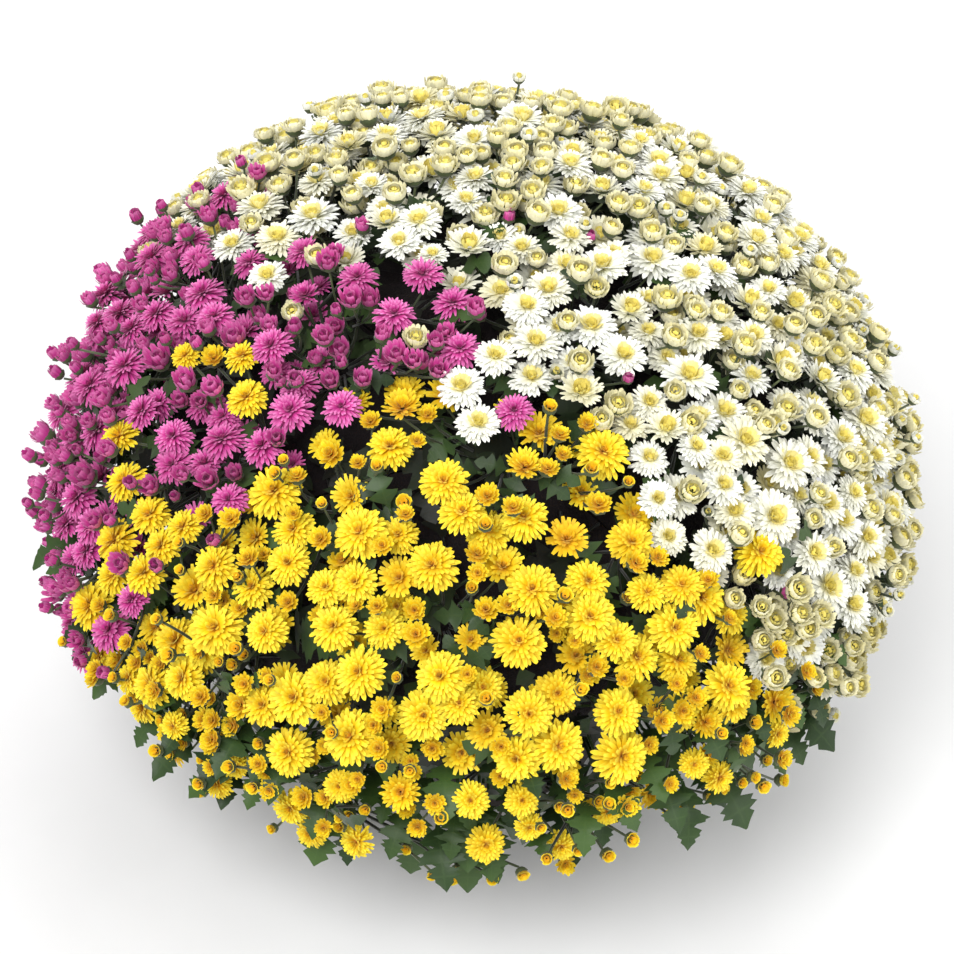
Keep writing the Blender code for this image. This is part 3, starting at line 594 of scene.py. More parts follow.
CUP_ROWS = {
    Plant.YELLOW: (
        PetalRow(15, 1.08, 0.175, 0.14, -0.34, 6.0, 58.0, 2),
        PetalRow(13, 0.92, 0.160, 0.12, -0.16, 24.0, 72.0, 2),
        PetalRow(10, 0.72, 0.145, 0.10, -0.02, 44.0, 92.0, 2, 1),
        PetalRow(6, 0.50, 0.125, 0.06, 0.06, 62.0, 104.0, 2, 1),
    ),
    Plant.WHITE: (
        PetalRow(19, 1.12, 0.190, 0.44, -0.50, 16.0, 106.0, 2),
        PetalRow(15, 0.76, 0.160, 0.66, -0.20, 58.0, 154.0, 2, 1),
        PetalRow(10, 0.60, 0.135, 0.40, -0.06, 52.0, 158.0, 2, 1),
        PetalRow(5, 0.36, 0.130, 0.10, 0.04, 40.0, 100.0, 2, 1),
    ),
    Plant.PINK: (
        PetalRow(13, 1.60, 0.235, 0.28, -0.76, 40.0, 100.0, 2),
        PetalRow(9, 1.40, 0.210, 0.20, -0.62, 60.0, 116.0, 2, 1),
        PetalRow(6, 1.25, 0.180, 0.10, -0.52, 70.0, 112.0, 2, 1),
    ),
}
BUD_ROWS = {
    Plant.YELLOW: (
        PetalRow(11, 1.40, 0.330, 0.16, -0.40, 4.0, 118.0, 3, 1),
        PetalRow(7, 0.90, 0.240, 0.12, -0.10, 30.0, 120.0, 2, 1),
    ),
    Plant.WHITE: (
        PetalRow(11, 1.60, 0.300, 0.46, -0.66, 12.0, 150.0, 3, 1),
        PetalRow(7, 0.80, 0.200, 0.34, -0.12, 60.0, 140.0, 2, 1),
    ),
    Plant.PINK: (
        PetalRow(9, 2.30, 0.440, 0.24, -0.95, 30.0, 138.0, 3, 1),
        PetalRow(5, 1.90, 0.340, 0.12, -0.60, 62.0, 118.0, 2, 1),
    ),
}


@dataclass(frozen=True)
class CalyxShape:
    """A green cup under a head: outline from its stalk up, in shares of the head's radius."""

    outline: tuple
    sides: int = 7


CALYXES = {
    Stage.BLOOM: CalyxShape(((0.22, -0.28), (0.28, -0.06)), 6),
    Stage.HALF: CalyxShape(((0.26, -0.30), (0.34, -0.02)), 7),
    Stage.SHADED: CalyxShape(((0.22, -0.28), (0.28, -0.06)), 5),
    Stage.CUP: CalyxShape(((0.40, -0.86), (0.74, -0.48), (0.60, -0.16))),
    Stage.BUD: CalyxShape(((0.50, -0.96), (0.86, -0.46), (0.40, -0.05))),
}


# Which sockets of a Mix node hold its share, its two colours and its result
MIX_INPUTS = (0, 6, 7)
MIX_OUTPUT = 2
TONE_OUTPUTS = {"Color": "NodeSocketColor", "Height": "NodeSocketFloat"}


def new_group(name: str, inputs: dict, outputs: dict) -> tuple:
    """A shader node group with named sockets.

    Args:
        name: The group's name.
        inputs: Names of the inputs with their socket kinds.
        outputs: Names of the outputs with their socket kinds.

    Returns:
        The group's tree, its input node and its output node.
    """
    tree = bpy.data.node_groups.new(name, "ShaderNodeTree")
    for label, kind in inputs.items():
        tree.interface.new_socket(label, in_out="INPUT", socket_type=kind)
    for label, kind in outputs.items():
        tree.interface.new_socket(label, in_out="OUTPUT", socket_type=kind)
    return tree, tree.nodes.new("NodeGroupInput"), tree.nodes.new("NodeGroupOutput")


class Wiring:
    """Short calls that add and join nodes in one tree."""

    def __init__(self, tree: bpy.types.NodeTree) -> None:
        """Takes the tree to work in."""
        self.tree = tree

    def node(self, kind: str, **values: object) -> bpy.types.Node:
        """Adds a node and sets its own settings."""
        made = self.tree.nodes.new(kind)
        for key, value in values.items():
            setattr(made, key, value)
        return made

    def join(self, source: object, target: object) -> None:
        """Joins an output to an input, or sets the input where the source is a plain value."""
        if isinstance(source, bpy.types.NodeSocket):
            self.tree.links.new(source, target)
        else:
            target.default_value = source

    def math(self, operation: str, *values: object) -> bpy.types.NodeSocket:
        """A Math node's result."""
        made = self.node("ShaderNodeMath", operation=operation)
        for value, socket in zip(values, made.inputs):
            self.join(value, socket)
        return made.outputs[0]

    def ramp(self, value: object, low: object, high: object, to_low: float = 0.0,
             to_high: float = 1.0) -> bpy.types.NodeSocket:
        """A value eased from one range to another."""
        made = self.node("ShaderNodeMapRange", interpolation_type="SMOOTHSTEP", clamp=True)
        for index, entry in enumerate((value, low, high, to_low, to_high)):
            self.join(entry, made.inputs[index])
        return made.outputs[0]

    def mix(self, share: object, first: object, second: object) -> bpy.types.NodeSocket:
        """Two colours mixed by a share."""
        made = self.node("ShaderNodeMix", data_type="RGBA")
        for entry, index in zip((share, first, second), MIX_INPUTS):
            self.join(entry, made.inputs[index])
        return made.outputs[MIX_OUTPUT]

    def noise(self, vector: object, scale: float, detail: float = 3.0) -> bpy.types.NodeSocket:
        """Cloudy noise at a scale."""
        made = self.node("ShaderNodeTexNoise")
        made.inputs["Scale"].default_value = scale
        made.inputs["Detail"].default_value = detail
        self.join(vector, made.inputs["Vector"])
        return made.outputs["Fac"]

    def attribute(self, name: str) -> bpy.types.Node:
        """The node that reads a mesh attribute."""
        return self.node("ShaderNodeAttribute", attribute_type="GEOMETRY", attribute_name=name)

    def marks(self) -> tuple:
        """The mesh's marks: along, across, ring and tint, and its shade mark, which paints shade and on white
        petals also gives their cream.
        """
        marks = self.attribute("petal")
        parts = self.node("ShaderNodeSeparateColor")
        self.join(marks.outputs["Color"], parts.inputs[0])
        return (*parts.outputs, marks.outputs["Alpha"], self.attribute("shade").outputs["Fac"])

    def place(self) -> bpy.types.NodeSocket:
        """The place on the object."""
        return self.node("ShaderNodeTexCoord").outputs["Object"]

    def bump(self, height: bpy.types.NodeSocket, strength: float, distance: float) -> bpy.types.NodeSocket:
        """The normal that a height gives."""
        made = self.node("ShaderNodeBump")
        made.inputs["Strength"].default_value = strength
        made.inputs["Distance"].default_value = distance
        self.join(height, made.inputs["Height"])
        return made.outputs["Normal"]


def petal_group() -> None:
    """The effect that colours every petal from its root to its tip and from the eye outwards, with painted
    shade at its root and by the shade mark, and painted highlight at its tip and edges.
    """
    colours = ("Body", "Pale Tip And Highlight", "Root Tint And Shade", "Eye", "Fade And Shade")
    inputs = {name: "NodeSocketColor" for name in colours} | {"Eye Reach": "NodeSocketFloat"}
    tree, given, result = new_group("petal_tone", inputs, TONE_OUTPUTS)
    wire = Wiring(tree)
    along, across, ring, own, shade_mark = wire.marks()
    cloud = wire.noise(wire.place(), 260.0)
    # Painted shade: each petal darkens towards its root colour, where the petals overlap; partly also the
    # petal's own deeper colour there
    rooted = wire.ramp(wire.math("ADD", along, wire.math("MULTIPLY", cloud, 0.16)), 0.10, 0.62)
    colour = wire.mix(rooted, given.outputs["Root Tint And Shade"], given.outputs["Body"])
    # Painted highlight: the tips and edges of the petals are lightened; partly also their own paler tips
    tip_and_highlight = wire.math("MULTIPLY", wire.ramp(along, 0.52, 0.98), wire.ramp(across, 0.0, 1.0, 0.55, 1.0))
    colour = wire.mix(tip_and_highlight, colour, given.outputs["Pale Tip And Highlight"])
    # Painted shade: the shade mark mixes the petals towards their faded colour, which on white cups is their
    # own cream
    colour = wire.mix(shade_mark, colour, given.outputs["Fade And Shade"])
    reach = wire.math("ADD", given.outputs["Eye Reach"], 0.34)
    opened = wire.ramp(ring, given.outputs["Eye Reach"], reach)
    colour = wire.mix(opened, given.outputs["Eye"], colour)
    tint = wire.ramp(own, 0.0, 1.0, 0.86, 1.06)
    light = wire.math("MULTIPLY", tint, wire.ramp(cloud, 0.2, 0.8, 0.94, 1.05))
    lit = wire.node("ShaderNodeVectorMath", operation="SCALE")
    wire.join(colour, lit.inputs[0])
    wire.join(light, lit.inputs["Scale"])
    wire.join(lit.outputs[0], result.inputs["Color"])
    ribs = wire.math("SINE", wire.math("MULTIPLY", across, 14.0))
    wire.join(wire.math("ADD", wire.math("MULTIPLY", ribs, 0.5), cloud), result.inputs["Height"])


def green_group() -> None:
    """The effect that mottles everything green, draws a leaf's veins and darkens it with painted shade by the
    shade mark.
    """
    colours = ("Deep", "Fresh", "Vein", "Deep Shade")
    inputs = {name: "NodeSocketColor" for name in colours} | {"Vein Strength": "NodeSocketFloat"}
    tree, given, result = new_group("green_tone", inputs, TONE_OUTPUTS)
    wire = Wiring(tree)
    along, across, ring, own, shade_mark = wire.marks()
    place = wire.place()
    cloud = wire.noise(place, 60.0, 4.0)
    grain = wire.noise(place, 700.0, 2.0)
    fresh = wire.math("ADD", wire.math("MULTIPLY", own, 0.6), wire.math("MULTIPLY", cloud, 0.4))
    colour = wire.mix(wire.ramp(fresh, 0.15, 0.85), given.outputs["Deep"], given.outputs["Fresh"])
    rows = wire.math("FRACT", wire.math("MULTIPLY", along, 5.5))
    rows = wire.math("ABSOLUTE", wire.math("SUBTRACT", rows, 0.5))
    lateral = wire.math("MULTIPLY", wire.ramp(rows, 0.10, 0.0), wire.ramp(across, 0.95, 0.70))
    midrib = wire.ramp(across, 0.13, 0.0)
    drawn = wire.math("MULTIPLY", ring, given.outputs["Vein Strength"])
    vein = wire.math("MULTIPLY", wire.math("MAXIMUM", lateral, midrib), drawn)
    colour = wire.mix(vein, colour, given.outputs["Vein"])
    # Painted shade: leaves inside the bush, and stalks towards their roots, darken towards the dark colour
    colour = wire.mix(shade_mark, colour, given.outputs["Deep Shade"])
    wire.join(colour, result.inputs["Color"])
    height = wire.math("SUBTRACT", wire.math("MULTIPLY", grain, 0.35), wire.math("MULTIPLY", vein, 0.8))
    wire.join(height, result.inputs["Height"])


def new_material(name: str) -> tuple:
    """A new material with the wiring of its tree and its main shader."""
    material = bpy.data.materials.new(name)
    material.use_nodes = True
    return material, Wiring(material.node_tree), material.node_tree.nodes["Principled BSDF"]


@dataclass(frozen=True)
class ToneFinish:
    """A finish that one of the shared effects colours, with its gloss set on the shader."""

    name: str
    group: str
    colours: dict
    values: dict
    roughness: float
    sheen: float
    bump: float
    bump_size: float = 0.0004

    def build(self) -> bpy.types.Material:
        """Makes the material."""
        material, wire, shader = new_material(self.name)
        shader.inputs["Roughness"].default_value = self.roughness
        shader.inputs["Sheen Weight"].default_value = self.sheen
        shader.inputs["Specular IOR Level"].default_value = 0.35
        tone = wire.node("ShaderNodeGroup", node_tree=bpy.data.node_groups[self.group])
        for name, colour in self.colours.items():
            tone.inputs[name].default_value = (*colour, 1.0)
        for name, value in self.values.items():
            tone.inputs[name].default_value = value
        wire.join(tone.outputs["Color"], shader.inputs["Base Color"])
        wire.join(wire.bump(tone.outputs["Height"], self.bump, self.bump_size), shader.inputs["Normal"])
        return material


@dataclass(frozen=True)
class GrainFinish:
    """A mottled matte finish, for moulded plastic, soil and the floor."""

    name: str
    dark: tuple
    light: tuple
    scale: float
    roughness: tuple
    bump: float
    bump_size: float

    def build(self) -> bpy.types.Material:
        """Makes the material."""
        material, wire, shader = new_material(self.name)
        place = wire.place()
        coarse = wire.noise(place, self.scale, 5.0)
        fine = wire.noise(place, self.scale * 9.0, 2.0)
        both = wire.math("ADD", wire.math("MULTIPLY", coarse, 0.7), wire.math("MULTIPLY", fine, 0.3))
        blend = wire.ramp(both, 0.3, 0.7)
        wire.join(wire.mix(blend, (*self.dark, 1.0), (*self.light, 1.0)), shader.inputs["Base Color"])
        wire.join(wire.ramp(fine, 0.3, 0.7, *self.roughness), shader.inputs["Roughness"])
        wire.join(wire.bump(fine, self.bump, self.bump_size), shader.inputs["Normal"])
        return material


# The petals' tip colours are partly painted highlight, their crease and faded colours partly painted shade,
# and the greens' dark colours painted shade
FINISHES = (
    ToneFinish("yellow_petals", "petal_tone", {
        "Body": (0.93, 0.64, 0.004), "Pale Tip And Highlight": (1.0, 0.84, 0.045), "Root Tint And Shade": (0.80, 0.38, 0.003),
        "Eye": (0.90, 0.55, 0.006), "Fade And Shade": (0.88, 0.54, 0.008)}, {"Eye Reach": -0.14},
        roughness=0.62, sheen=0.10, bump=0.25),
    ToneFinish("white_petals", "petal_tone", {
        "Body": (0.94, 0.95, 0.88), "Pale Tip And Highlight": (0.98, 0.99, 0.95), "Root Tint And Shade": (0.80, 0.79, 0.50),
        "Eye": (0.90, 0.78, 0.20), "Fade And Shade": (0.86, 0.77, 0.31)}, {"Eye Reach": 0.30},
        roughness=0.60, sheen=0.10, bump=0.25),
    ToneFinish("pink_petals", "petal_tone", {
        "Body": (0.63, 0.045, 0.31), "Pale Tip And Highlight": (0.84, 0.23, 0.54), "Root Tint And Shade": (0.32, 0.010, 0.14),
        "Eye": (0.42, 0.012, 0.19), "Fade And Shade": (0.46, 0.05, 0.22)}, {"Eye Reach": -0.04},
        roughness=0.58, sheen=0.15, bump=0.25),
    ToneFinish("leaves", "green_tone", {
        "Deep": (0.017, 0.042, 0.010), "Fresh": (0.050, 0.106, 0.018), "Vein": (0.085, 0.150, 0.040),
        "Deep Shade": (0.010, 0.011, 0.006)}, {"Vein Strength": 0.15}, roughness=0.48, sheen=0.12, bump=0.5),
    # Painted shade: the leafy core is finished near-black purple-brown, as the shade deep inside the bush
    ToneFinish("core", "green_tone", {
        "Deep": (0.016, 0.011, 0.012), "Fresh": (0.040, 0.030, 0.028), "Vein": (0.02, 0.02, 0.01),
        "Deep Shade": (0.012, 0.009, 0.010)}, {"Vein Strength": 0.0}, roughness=0.85, sheen=0.0, bump=0.8,
        bump_size=0.003),
    ToneFinish("stalks", "green_tone", {
        "Deep": (0.036, 0.052, 0.018), "Fresh": (0.115, 0.140, 0.055), "Vein": (0.16, 0.18, 0.08),
        "Deep Shade": (0.012, 0.014, 0.008)}, {"Vein Strength": 0.0}, roughness=0.60, sheen=0.20, bump=0.3),
    GrainFinish("pot", (0.016, 0.010, 0.009), (0.030, 0.020, 0.017), scale=40.0, roughness=(0.42, 0.60),
                bump=0.12, bump_size=0.0004),
    GrainFinish("soil", (0.012, 0.008, 0.005), (0.060, 0.038, 0.022), scale=130.0, roughness=(0.85, 1.0),
                bump=0.9, bump_size=0.003),
    GrainFinish("floor", (0.86, 0.86, 0.86), (0.88, 0.88, 0.88), scale=3.0, roughness=(0.7, 0.8),
                bump=0.02, bump_size=0.001),
)


class Workshop:
    """Holds the finishes and turns bmeshes into pieces of the object."""

    def __init__(self) -> None:
        """Makes the shared effects and every finish."""
        petal_group()
        green_group()
        self.materials = {finish.name: finish.build() for finish in FINISHES}

    def piece(self, name: str, bm: bmesh.types.BMesh, finish: str, slot: str,
              nodes: Iterable = ()) -> bpy.types.Object:
        """Puts a finished mesh into the scene as a piece of the object.

        Args:
            name: The piece's name.
            bm: Its mesh, which is freed.
            finish: The name of its material.
            slot: The record's material slot; not used.
            nodes: The frame nodes that it stands for.

        Returns:
            The new object.
        """
        mesh = to_mesh(bm, name)
        mesh.materials.append(self.materials[finish])
        item = to_scene(name, mesh)
        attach(item, BODY)
        if nodes:
            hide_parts(*nodes)
        LOG.info("%s: %d faces", name, len(mesh.polygons))
        return item


def mark(bm: bmesh.types.BMesh, verts: Iterable, marks: tuple) -> None:
    """Gives corners the same marks for the finish: along, across, ring and tint."""
    layer = bm.verts.layers.float_color["petal"]
    for vert in verts:
        vert[layer] = marks


def stamp(bm: bmesh.types.BMesh, mesh: bpy.types.Mesh, place: Matrix, shade: float = 0.0,
          tint: float | None = None) -> None:
    """Adds a copy of a mesh at a place.

    Args:
        bm: The mesh to add to.
        mesh: The shape to copy.
        place: Its transform.
        shade: How far the copy is mixed towards its painted shade colour, from 0 to 1; on white cups that
            colour is their own cream.
        tint: The copy's own tint, from 0 to 1, or None to keep that of each petal.
    """
    copy = mesh.copy()
    copy.transform(place)
    count = len(copy.vertices)
    copy.attributes["shade"].data.foreach_set("value", np.full(count, shade, np.float32))
    if tint is not None:
        marks = np.empty(4 * count, np.float32)
        copy.attributes["petal"].data.foreach_get("color", marks)
        marks[3::4] = tint
        copy.attributes["petal"].data.foreach_set("color", marks)
    bm.from_mesh(copy)
    bpy.data.meshes.remove(copy)


def add_tube(bm: bmesh.types.BMesh, points: list, radii: list, sides: int, tint: float, dark: float) -> None:
    """Adds a closed tube along some points, drawn out ring by ring.

    Args:
        bm: The mesh to add to.
        points: The places of the tube's rings.
        radii: The tube's radius at each ring.
        sides: The number of its sides.
        tint: Its mark for the finish.
        dark: How shaded its root is, from 0 to 1; its far end isn't.
    """
    shade = bm.verts.layers.float["shade"]
    ways = [(points[min(index + 1, len(points) - 1)] - points[max(index - 1, 0)]).normalized()
            for index in range(len(points))]
    hint = HINT if abs(ways[0].dot(HINT.normalized())) < 0.9 else Vector((1.0, 0.0, 0.0))
    circle = bmesh.ops.create_circle(bm, cap_ends=True, segments=sides, radius=1.0)["verts"]
    cap = circle[0].link_faces[0]
    verts = list(circle)
    place = frame_of(ways[0], hint, points[0]) @ Matrix.Scale(radii[0], 4)
    bmesh.ops.transform(bm, matrix=place, verts=circle)
    bmesh.ops.reverse_faces(bm, faces=[cap])
    edges = list(cap.edges)
    last = place
    for vert in circle:
        vert[shade] = dark
    for index, (point, way, radius) in enumerate(zip(points[1:], ways[1:], radii[1:]), 1):
        grown = bmesh.ops.extrude_edge_only(bm, edges=edges)["geom"]
        ring = [entry for entry in grown if isinstance(entry, bmesh.types.BMVert)]
        edges = [entry for entry in grown if isinstance(entry, bmesh.types.BMEdge)]
        place = frame_of(way, hint, point) @ Matrix.Scale(radius, 4)
        bmesh.ops.transform(bm, matrix=place @ last.inverted(), verts=ring)
        last = place
        for vert in ring:
            vert[shade] = dark * (1.0 - index / (len(points) - 1)) ** 0.6
        verts += ring
    end = bmesh.ops.holes_fill(bm, edges=edges, sides=sides)["faces"]
    for vert in verts:
        for face in vert.link_faces:
            face.smooth = True
    for face in end:
        face.smooth = False
    mark(bm, verts, (0.5, 1.0, 0.0, tint))


# How large an open head is drawn beside the frame's own, and what share of them is drawn half open
BLOOM_SCALES = {Plant.YELLOW: 0.84, Plant.WHITE: 0.94, Plant.PINK: 0.84}
HALF_OPEN = {Plant.YELLOW: 0.10, Plant.WHITE: 0.42, Plant.PINK: 0.15}


@dataclass
class Tuning:
    """How the drawn heads differ from the frame's larger-than-life ones, by stage."""

    cup_scale: float = 0.92
    bud_scale: float = 0.95
    half_scale: float = 0.84
    low_below: float = -0.04
    low_scale: float = 0.68

    def radius(self, head: Head) -> float:
        """The radius at which a head of the frame is drawn."""
        own = BLOOM_SCALES[head.plant]
        scale = {Stage.CUP: self.cup_scale, Stage.BUD: self.bud_scale}.get(head.stage, own)
        return head.radius * scale


# Finer heads between the frame's own: stage, depth in the dome, wanted number, clearance share and radii
EXTRA_ROUNDS = (
    (Stage.BLOOM, (-0.003, 0.014), 290, 0.64, {Plant.YELLOW: (0.0125, 0.0170), Plant.WHITE: (0.0125, 0.0165),
                                               Plant.PINK: (0.0115, 0.0150)}),
    (Stage.SHADED, (0.018, 0.034), 100, 0.66, {Plant.YELLOW: (0.0110, 0.0150), Plant.WHITE: (0.0105, 0.0140),
                                               Plant.PINK: (0.0100, 0.0130)}),
    (Stage.CUP, (-0.013, 0.011), 760, 0.66, {Plant.YELLOW: (0.0052, 0.0082), Plant.WHITE: (0.0074, 0.0100),
                                             Plant.PINK: (0.0058, 0.0078)}),
    (Stage.BUD, (-0.018, 0.010), 260, 0.85, {Plant.YELLOW: (0.0040, 0.0056), Plant.WHITE: (0.0042, 0.0056),
                                             Plant.PINK: (0.0042, 0.0058)}),
)
EXTRA_SHARES = {
    Stage.BLOOM: {Plant.YELLOW: 0.28, Plant.WHITE: 1.0, Plant.PINK: 0.20},
    Stage.SHADED: {Plant.YELLOW: 1.0, Plant.WHITE: 0.6, Plant.PINK: 0.8},
    Stage.CUP: {Plant.YELLOW: 0.30, Plant.WHITE: 1.0, Plant.PINK: 0.40},
    Stage.BUD: {Plant.YELLOW: 0.5, Plant.WHITE: 0.4, Plant.PINK: 0.9},
}
EXTRA_TRIES = 9000
EXTRA_LOWEST = {Stage.BLOOM: 0.10, Stage.SHADED: 0.06, Stage.CUP: -0.20, Stage.BUD: -0.60}
BASE_DEPTH = {Stage.BLOOM: 0.36, Stage.SHADED: 0.36, Stage.CUP: 1.02, Stage.BUD: 1.25}

# Heads set one by one, most in another plant's share: plant, stage, place in the photograph's pixels, radius
STRAYS = (
    (Plant.WHITE, Stage.BLOOM, 463, 388, 0.0150), (Plant.WHITE, Stage.BLOOM, 480, 424, 0.0140),
    (Plant.WHITE, Stage.BLOOM, 497, 358, 0.0135), (Plant.PINK, Stage.BLOOM, 516, 411, 0.0125),
    (Plant.WHITE, Stage.BLOOM, 270, 278, 0.0140), (Plant.WHITE, Stage.CUP, 295, 312, 0.0080),
    (Plant.WHITE, Stage.BLOOM, 263, 209, 0.0170), (Plant.WHITE, Stage.BLOOM, 280, 240, 0.0155),
    (Plant.WHITE, Stage.BLOOM, 236, 247, 0.0145), (Plant.YELLOW, Stage.BLOOM, 488, 844, 0.0135),
    (Plant.YELLOW, Stage.BLOOM, 473, 800, 0.0125), (Plant.YELLOW, Stage.BLOOM, 623, 756, 0.0185),
    (Plant.WHITE, Stage.BLOOM, 435, 256, 0.0100), (Plant.WHITE, Stage.CUP, 418, 338, 0.0085),
    (Plant.YELLOW, Stage.BLOOM, 188, 356, 0.0100), (Plant.YELLOW, Stage.BLOOM, 244, 357, 0.0120),
    (Plant.YELLOW, Stage.BLOOM, 249, 398, 0.0135), (Plant.YELLOW, Stage.CUP, 215, 357, 0.0080),
    (Plant.YELLOW, Stage.BLOOM, 122, 437, 0.0135), (Plant.YELLOW, Stage.BLOOM, 128, 482, 0.0145),
    (Plant.YELLOW, Stage.BLOOM, 118, 541, 0.0160), (Plant.YELLOW, Stage.BLOOM, 147, 573, 0.0145),
    (Plant.YELLOW, Stage.BLOOM, 152, 515, 0.0135), (Plant.YELLOW, Stage.BLOOM, 186, 527, 0.0120),
    (Plant.PINK, Stage.BLOOM, 76, 622, 0.0135), (Plant.PINK, Stage.BLOOM, 88, 655, 0.0125),
    (Plant.PINK, Stage.BLOOM, 135, 600, 0.0120), (Plant.PINK, Stage.CUP, 57, 592, 0.0085),
    (Plant.PINK, Stage.BLOOM, 225, 440, 0.0150),
    (Plant.PINK, Stage.BLOOM, 175, 465, 0.0135), (Plant.PINK, Stage.BLOOM, 231, 500, 0.0125),
    (Plant.PINK, Stage.BLOOM, 112, 630, 0.0150), (Plant.PINK, Stage.BUD, 511, 216, 0.0050),
    (Plant.PINK, Stage.BUD, 592, 236, 0.0046), (Plant.PINK, Stage.BUD, 630, 378, 0.0044),
    (Plant.PINK, Stage.BUD, 790, 592, 0.0056), (Plant.PINK, Stage.BUD, 216, 540, 0.0054),
)


# How near another head may stand to a stray, as a share of their two radii
STRAY_CLEARANCE = 0.62


class Planting:
    """All heads of the object: the frame's own, the finer ones between them and the strays."""

    wobble = 0.09
    lean_out = 0.6
    lean_up = 0.5
    branching = (0.25, 0.55)
    border_scatter = 6.0

    def __init__(self, dome: Dome, view: View) -> None:
        """Takes the dome and the photograph's camera."""
        self.dome = dome
        self.view = view
        self.tuning = Tuning()
        self.sprays: dict = {}
        self.draw = np.random.default_rng(SEED)
        self.cleared = 0

    def take(self, name: str, heads: list) -> None:
        """Takes over a spray's heads from the frame, at their drawn size and stage."""
        for head in heads:
            head.radius = self.tuning.radius(head)
            if self.dome.toward(head.middle).z < self.tuning.low_below and head.stage is not Stage.BUD:
                head.radius *= self.tuning.low_scale
            if head.stage is Stage.BLOOM and self.draw.uniform() < HALF_OPEN[head.plant]:
                head.stage = Stage.HALF
                head.radius *= self.tuning.half_scale
            head.shade = self.shade_of(head)
        self.sprays[name] = heads

    def shade_of(self, head: Head) -> float:
        """How far a head's petals are mixed towards their painted shade colour: most hardly at all, deep and
        half-open ones more, turning orange or brownish; on white cups the colour is their own cream, given at
        least half.
        """
        fade_and_shade = float(self.draw.beta(1.0, 8.0))
        if head.stage in (Stage.SHADED, Stage.HALF):
            fade_and_shade = float(self.draw.beta(1.6, 4.0))
        if head.stage in (Stage.CUP, Stage.BUD) and head.plant is Plant.YELLOW:
            fade_and_shade *= 0.3
        if head.stage is Stage.CUP and head.plant is Plant.WHITE:
            fade_and_shade = 0.50 + 0.5 * fade_and_shade
        return min(1.0, fade_and_shade)

    def face(self, direction: Vector) -> Vector:
        """The way a head at a place of the dome faces: outwards and a little up to the light."""
        wobble = Vector(self.draw.normal(0.0, self.wobble, 3))
        return (self.dome.normal(direction) * self.lean_out + UP * self.lean_up + wobble).normalized()

    def nearest(self, plant: Plant, middle: Vector) -> tuple:
        """The spray name and head of a plant that stand nearest to a place."""
        own = [(name, head) for name, heads in self.sprays.items() for head in heads if head.plant is plant]
        return min(own, key=lambda entry: (entry[1].middle - middle).length)

    def add(self, plant: Plant, stage: Stage, middle: Vector, axis: Vector, radius: float) -> None:
        """Adds a head whose stalk branches off the nearest one of its plant."""
        name, parent = self.nearest(plant, middle)
        base = middle - axis * radius * BASE_DEPTH[stage]
        root = parent.root.lerp(parent.base, float(self.draw.uniform(*self.branching)))
        head = Head(plant, stage, middle, axis, radius, base, root)
        head.shade = self.shade_of(head)
        self.sprays[name].append(head)

    def fill(self) -> None:
        """Adds the finer heads in the gaps, round by round, and the strays first of all."""
        for plant, stage, right, down, radius in STRAYS:
            middle = self.view.on_dome(self.dome, right, down)
            direction = self.dome.toward(middle)
            self.clear_round(middle, radius)
            self.add(plant, stage, middle, self.face(direction), radius)
        LOG.info("strays: %d set, %d heads cleared for them", len(STRAYS), self.cleared)
        for stage, depths, wanted, clearance, radii in EXTRA_ROUNDS:
            self.fill_round(stage, depths, wanted, clearance, radii)

    def clear_round(self, middle: Vector, radius: float) -> None:
        """Takes out the heads that a stray would stand in."""
        for name, heads in self.sprays.items():
            kept = [head for head in heads
                    if (head.middle - middle).length > STRAY_CLEARANCE * (head.radius + radius)]
            self.cleared += len(heads) - len(kept)
            self.sprays[name] = kept

    def fill_round(self, stage: Stage, depths: tuple, wanted: int, clearance: float, radii: dict) -> None:
        """Tries places for one stage until the wanted number stand.

        Args:
            stage: What the heads are.
            depths: How deep in the dome they stand, from and to.
            wanted: How many to place.
            clearance: How near two heads may come, as a share of their radii together.
            radii: Their radii by plant, from and to.
        """
        heads = [head for own in self.sprays.values() for head in own]
        middles = np.array([head.middle for head in heads])
        sizes = np.array([head.radius for head in heads])
        placed = 0
        for _ in range(EXTRA_TRIES):
            height = self.draw.uniform(EXTRA_LOWEST[stage], 1.0)
            direction = self.dome.direction(height, self.draw.uniform(0.0, math.tau))
            middle = self.dome.point(direction, self.draw.uniform(*depths))
            plant = self.dome.plant_at(middle, self.draw.normal(0.0, self.border_scatter))
            radius = self.draw.uniform(*radii[plant])
            wanted_here = self.draw.uniform() < EXTRA_SHARES[stage][plant]
            near = np.linalg.norm(middles - np.array(middle), axis=1) < clearance * (sizes + radius)
            if placed >= wanted or not wanted_here or near.any():
                continue
            self.add(plant, stage, middle, self.face(direction), radius)
            middles = np.vstack((middles, np.array(middle)))
            sizes = np.append(sizes, radius)
            placed += 1
        LOG.info("%s: %d of %d finer ones placed", stage.value, placed, wanted)


# How many shapes each stage has, and by how many degrees their petals stray
HEAD_VARIANTS = {Stage.BLOOM: (5, 6.0), Stage.HALF: (4, 6.0), Stage.SHADED: (3, 6.0), Stage.CUP: (4, 3.0),
                 Stage.BUD: (3, 3.0)}


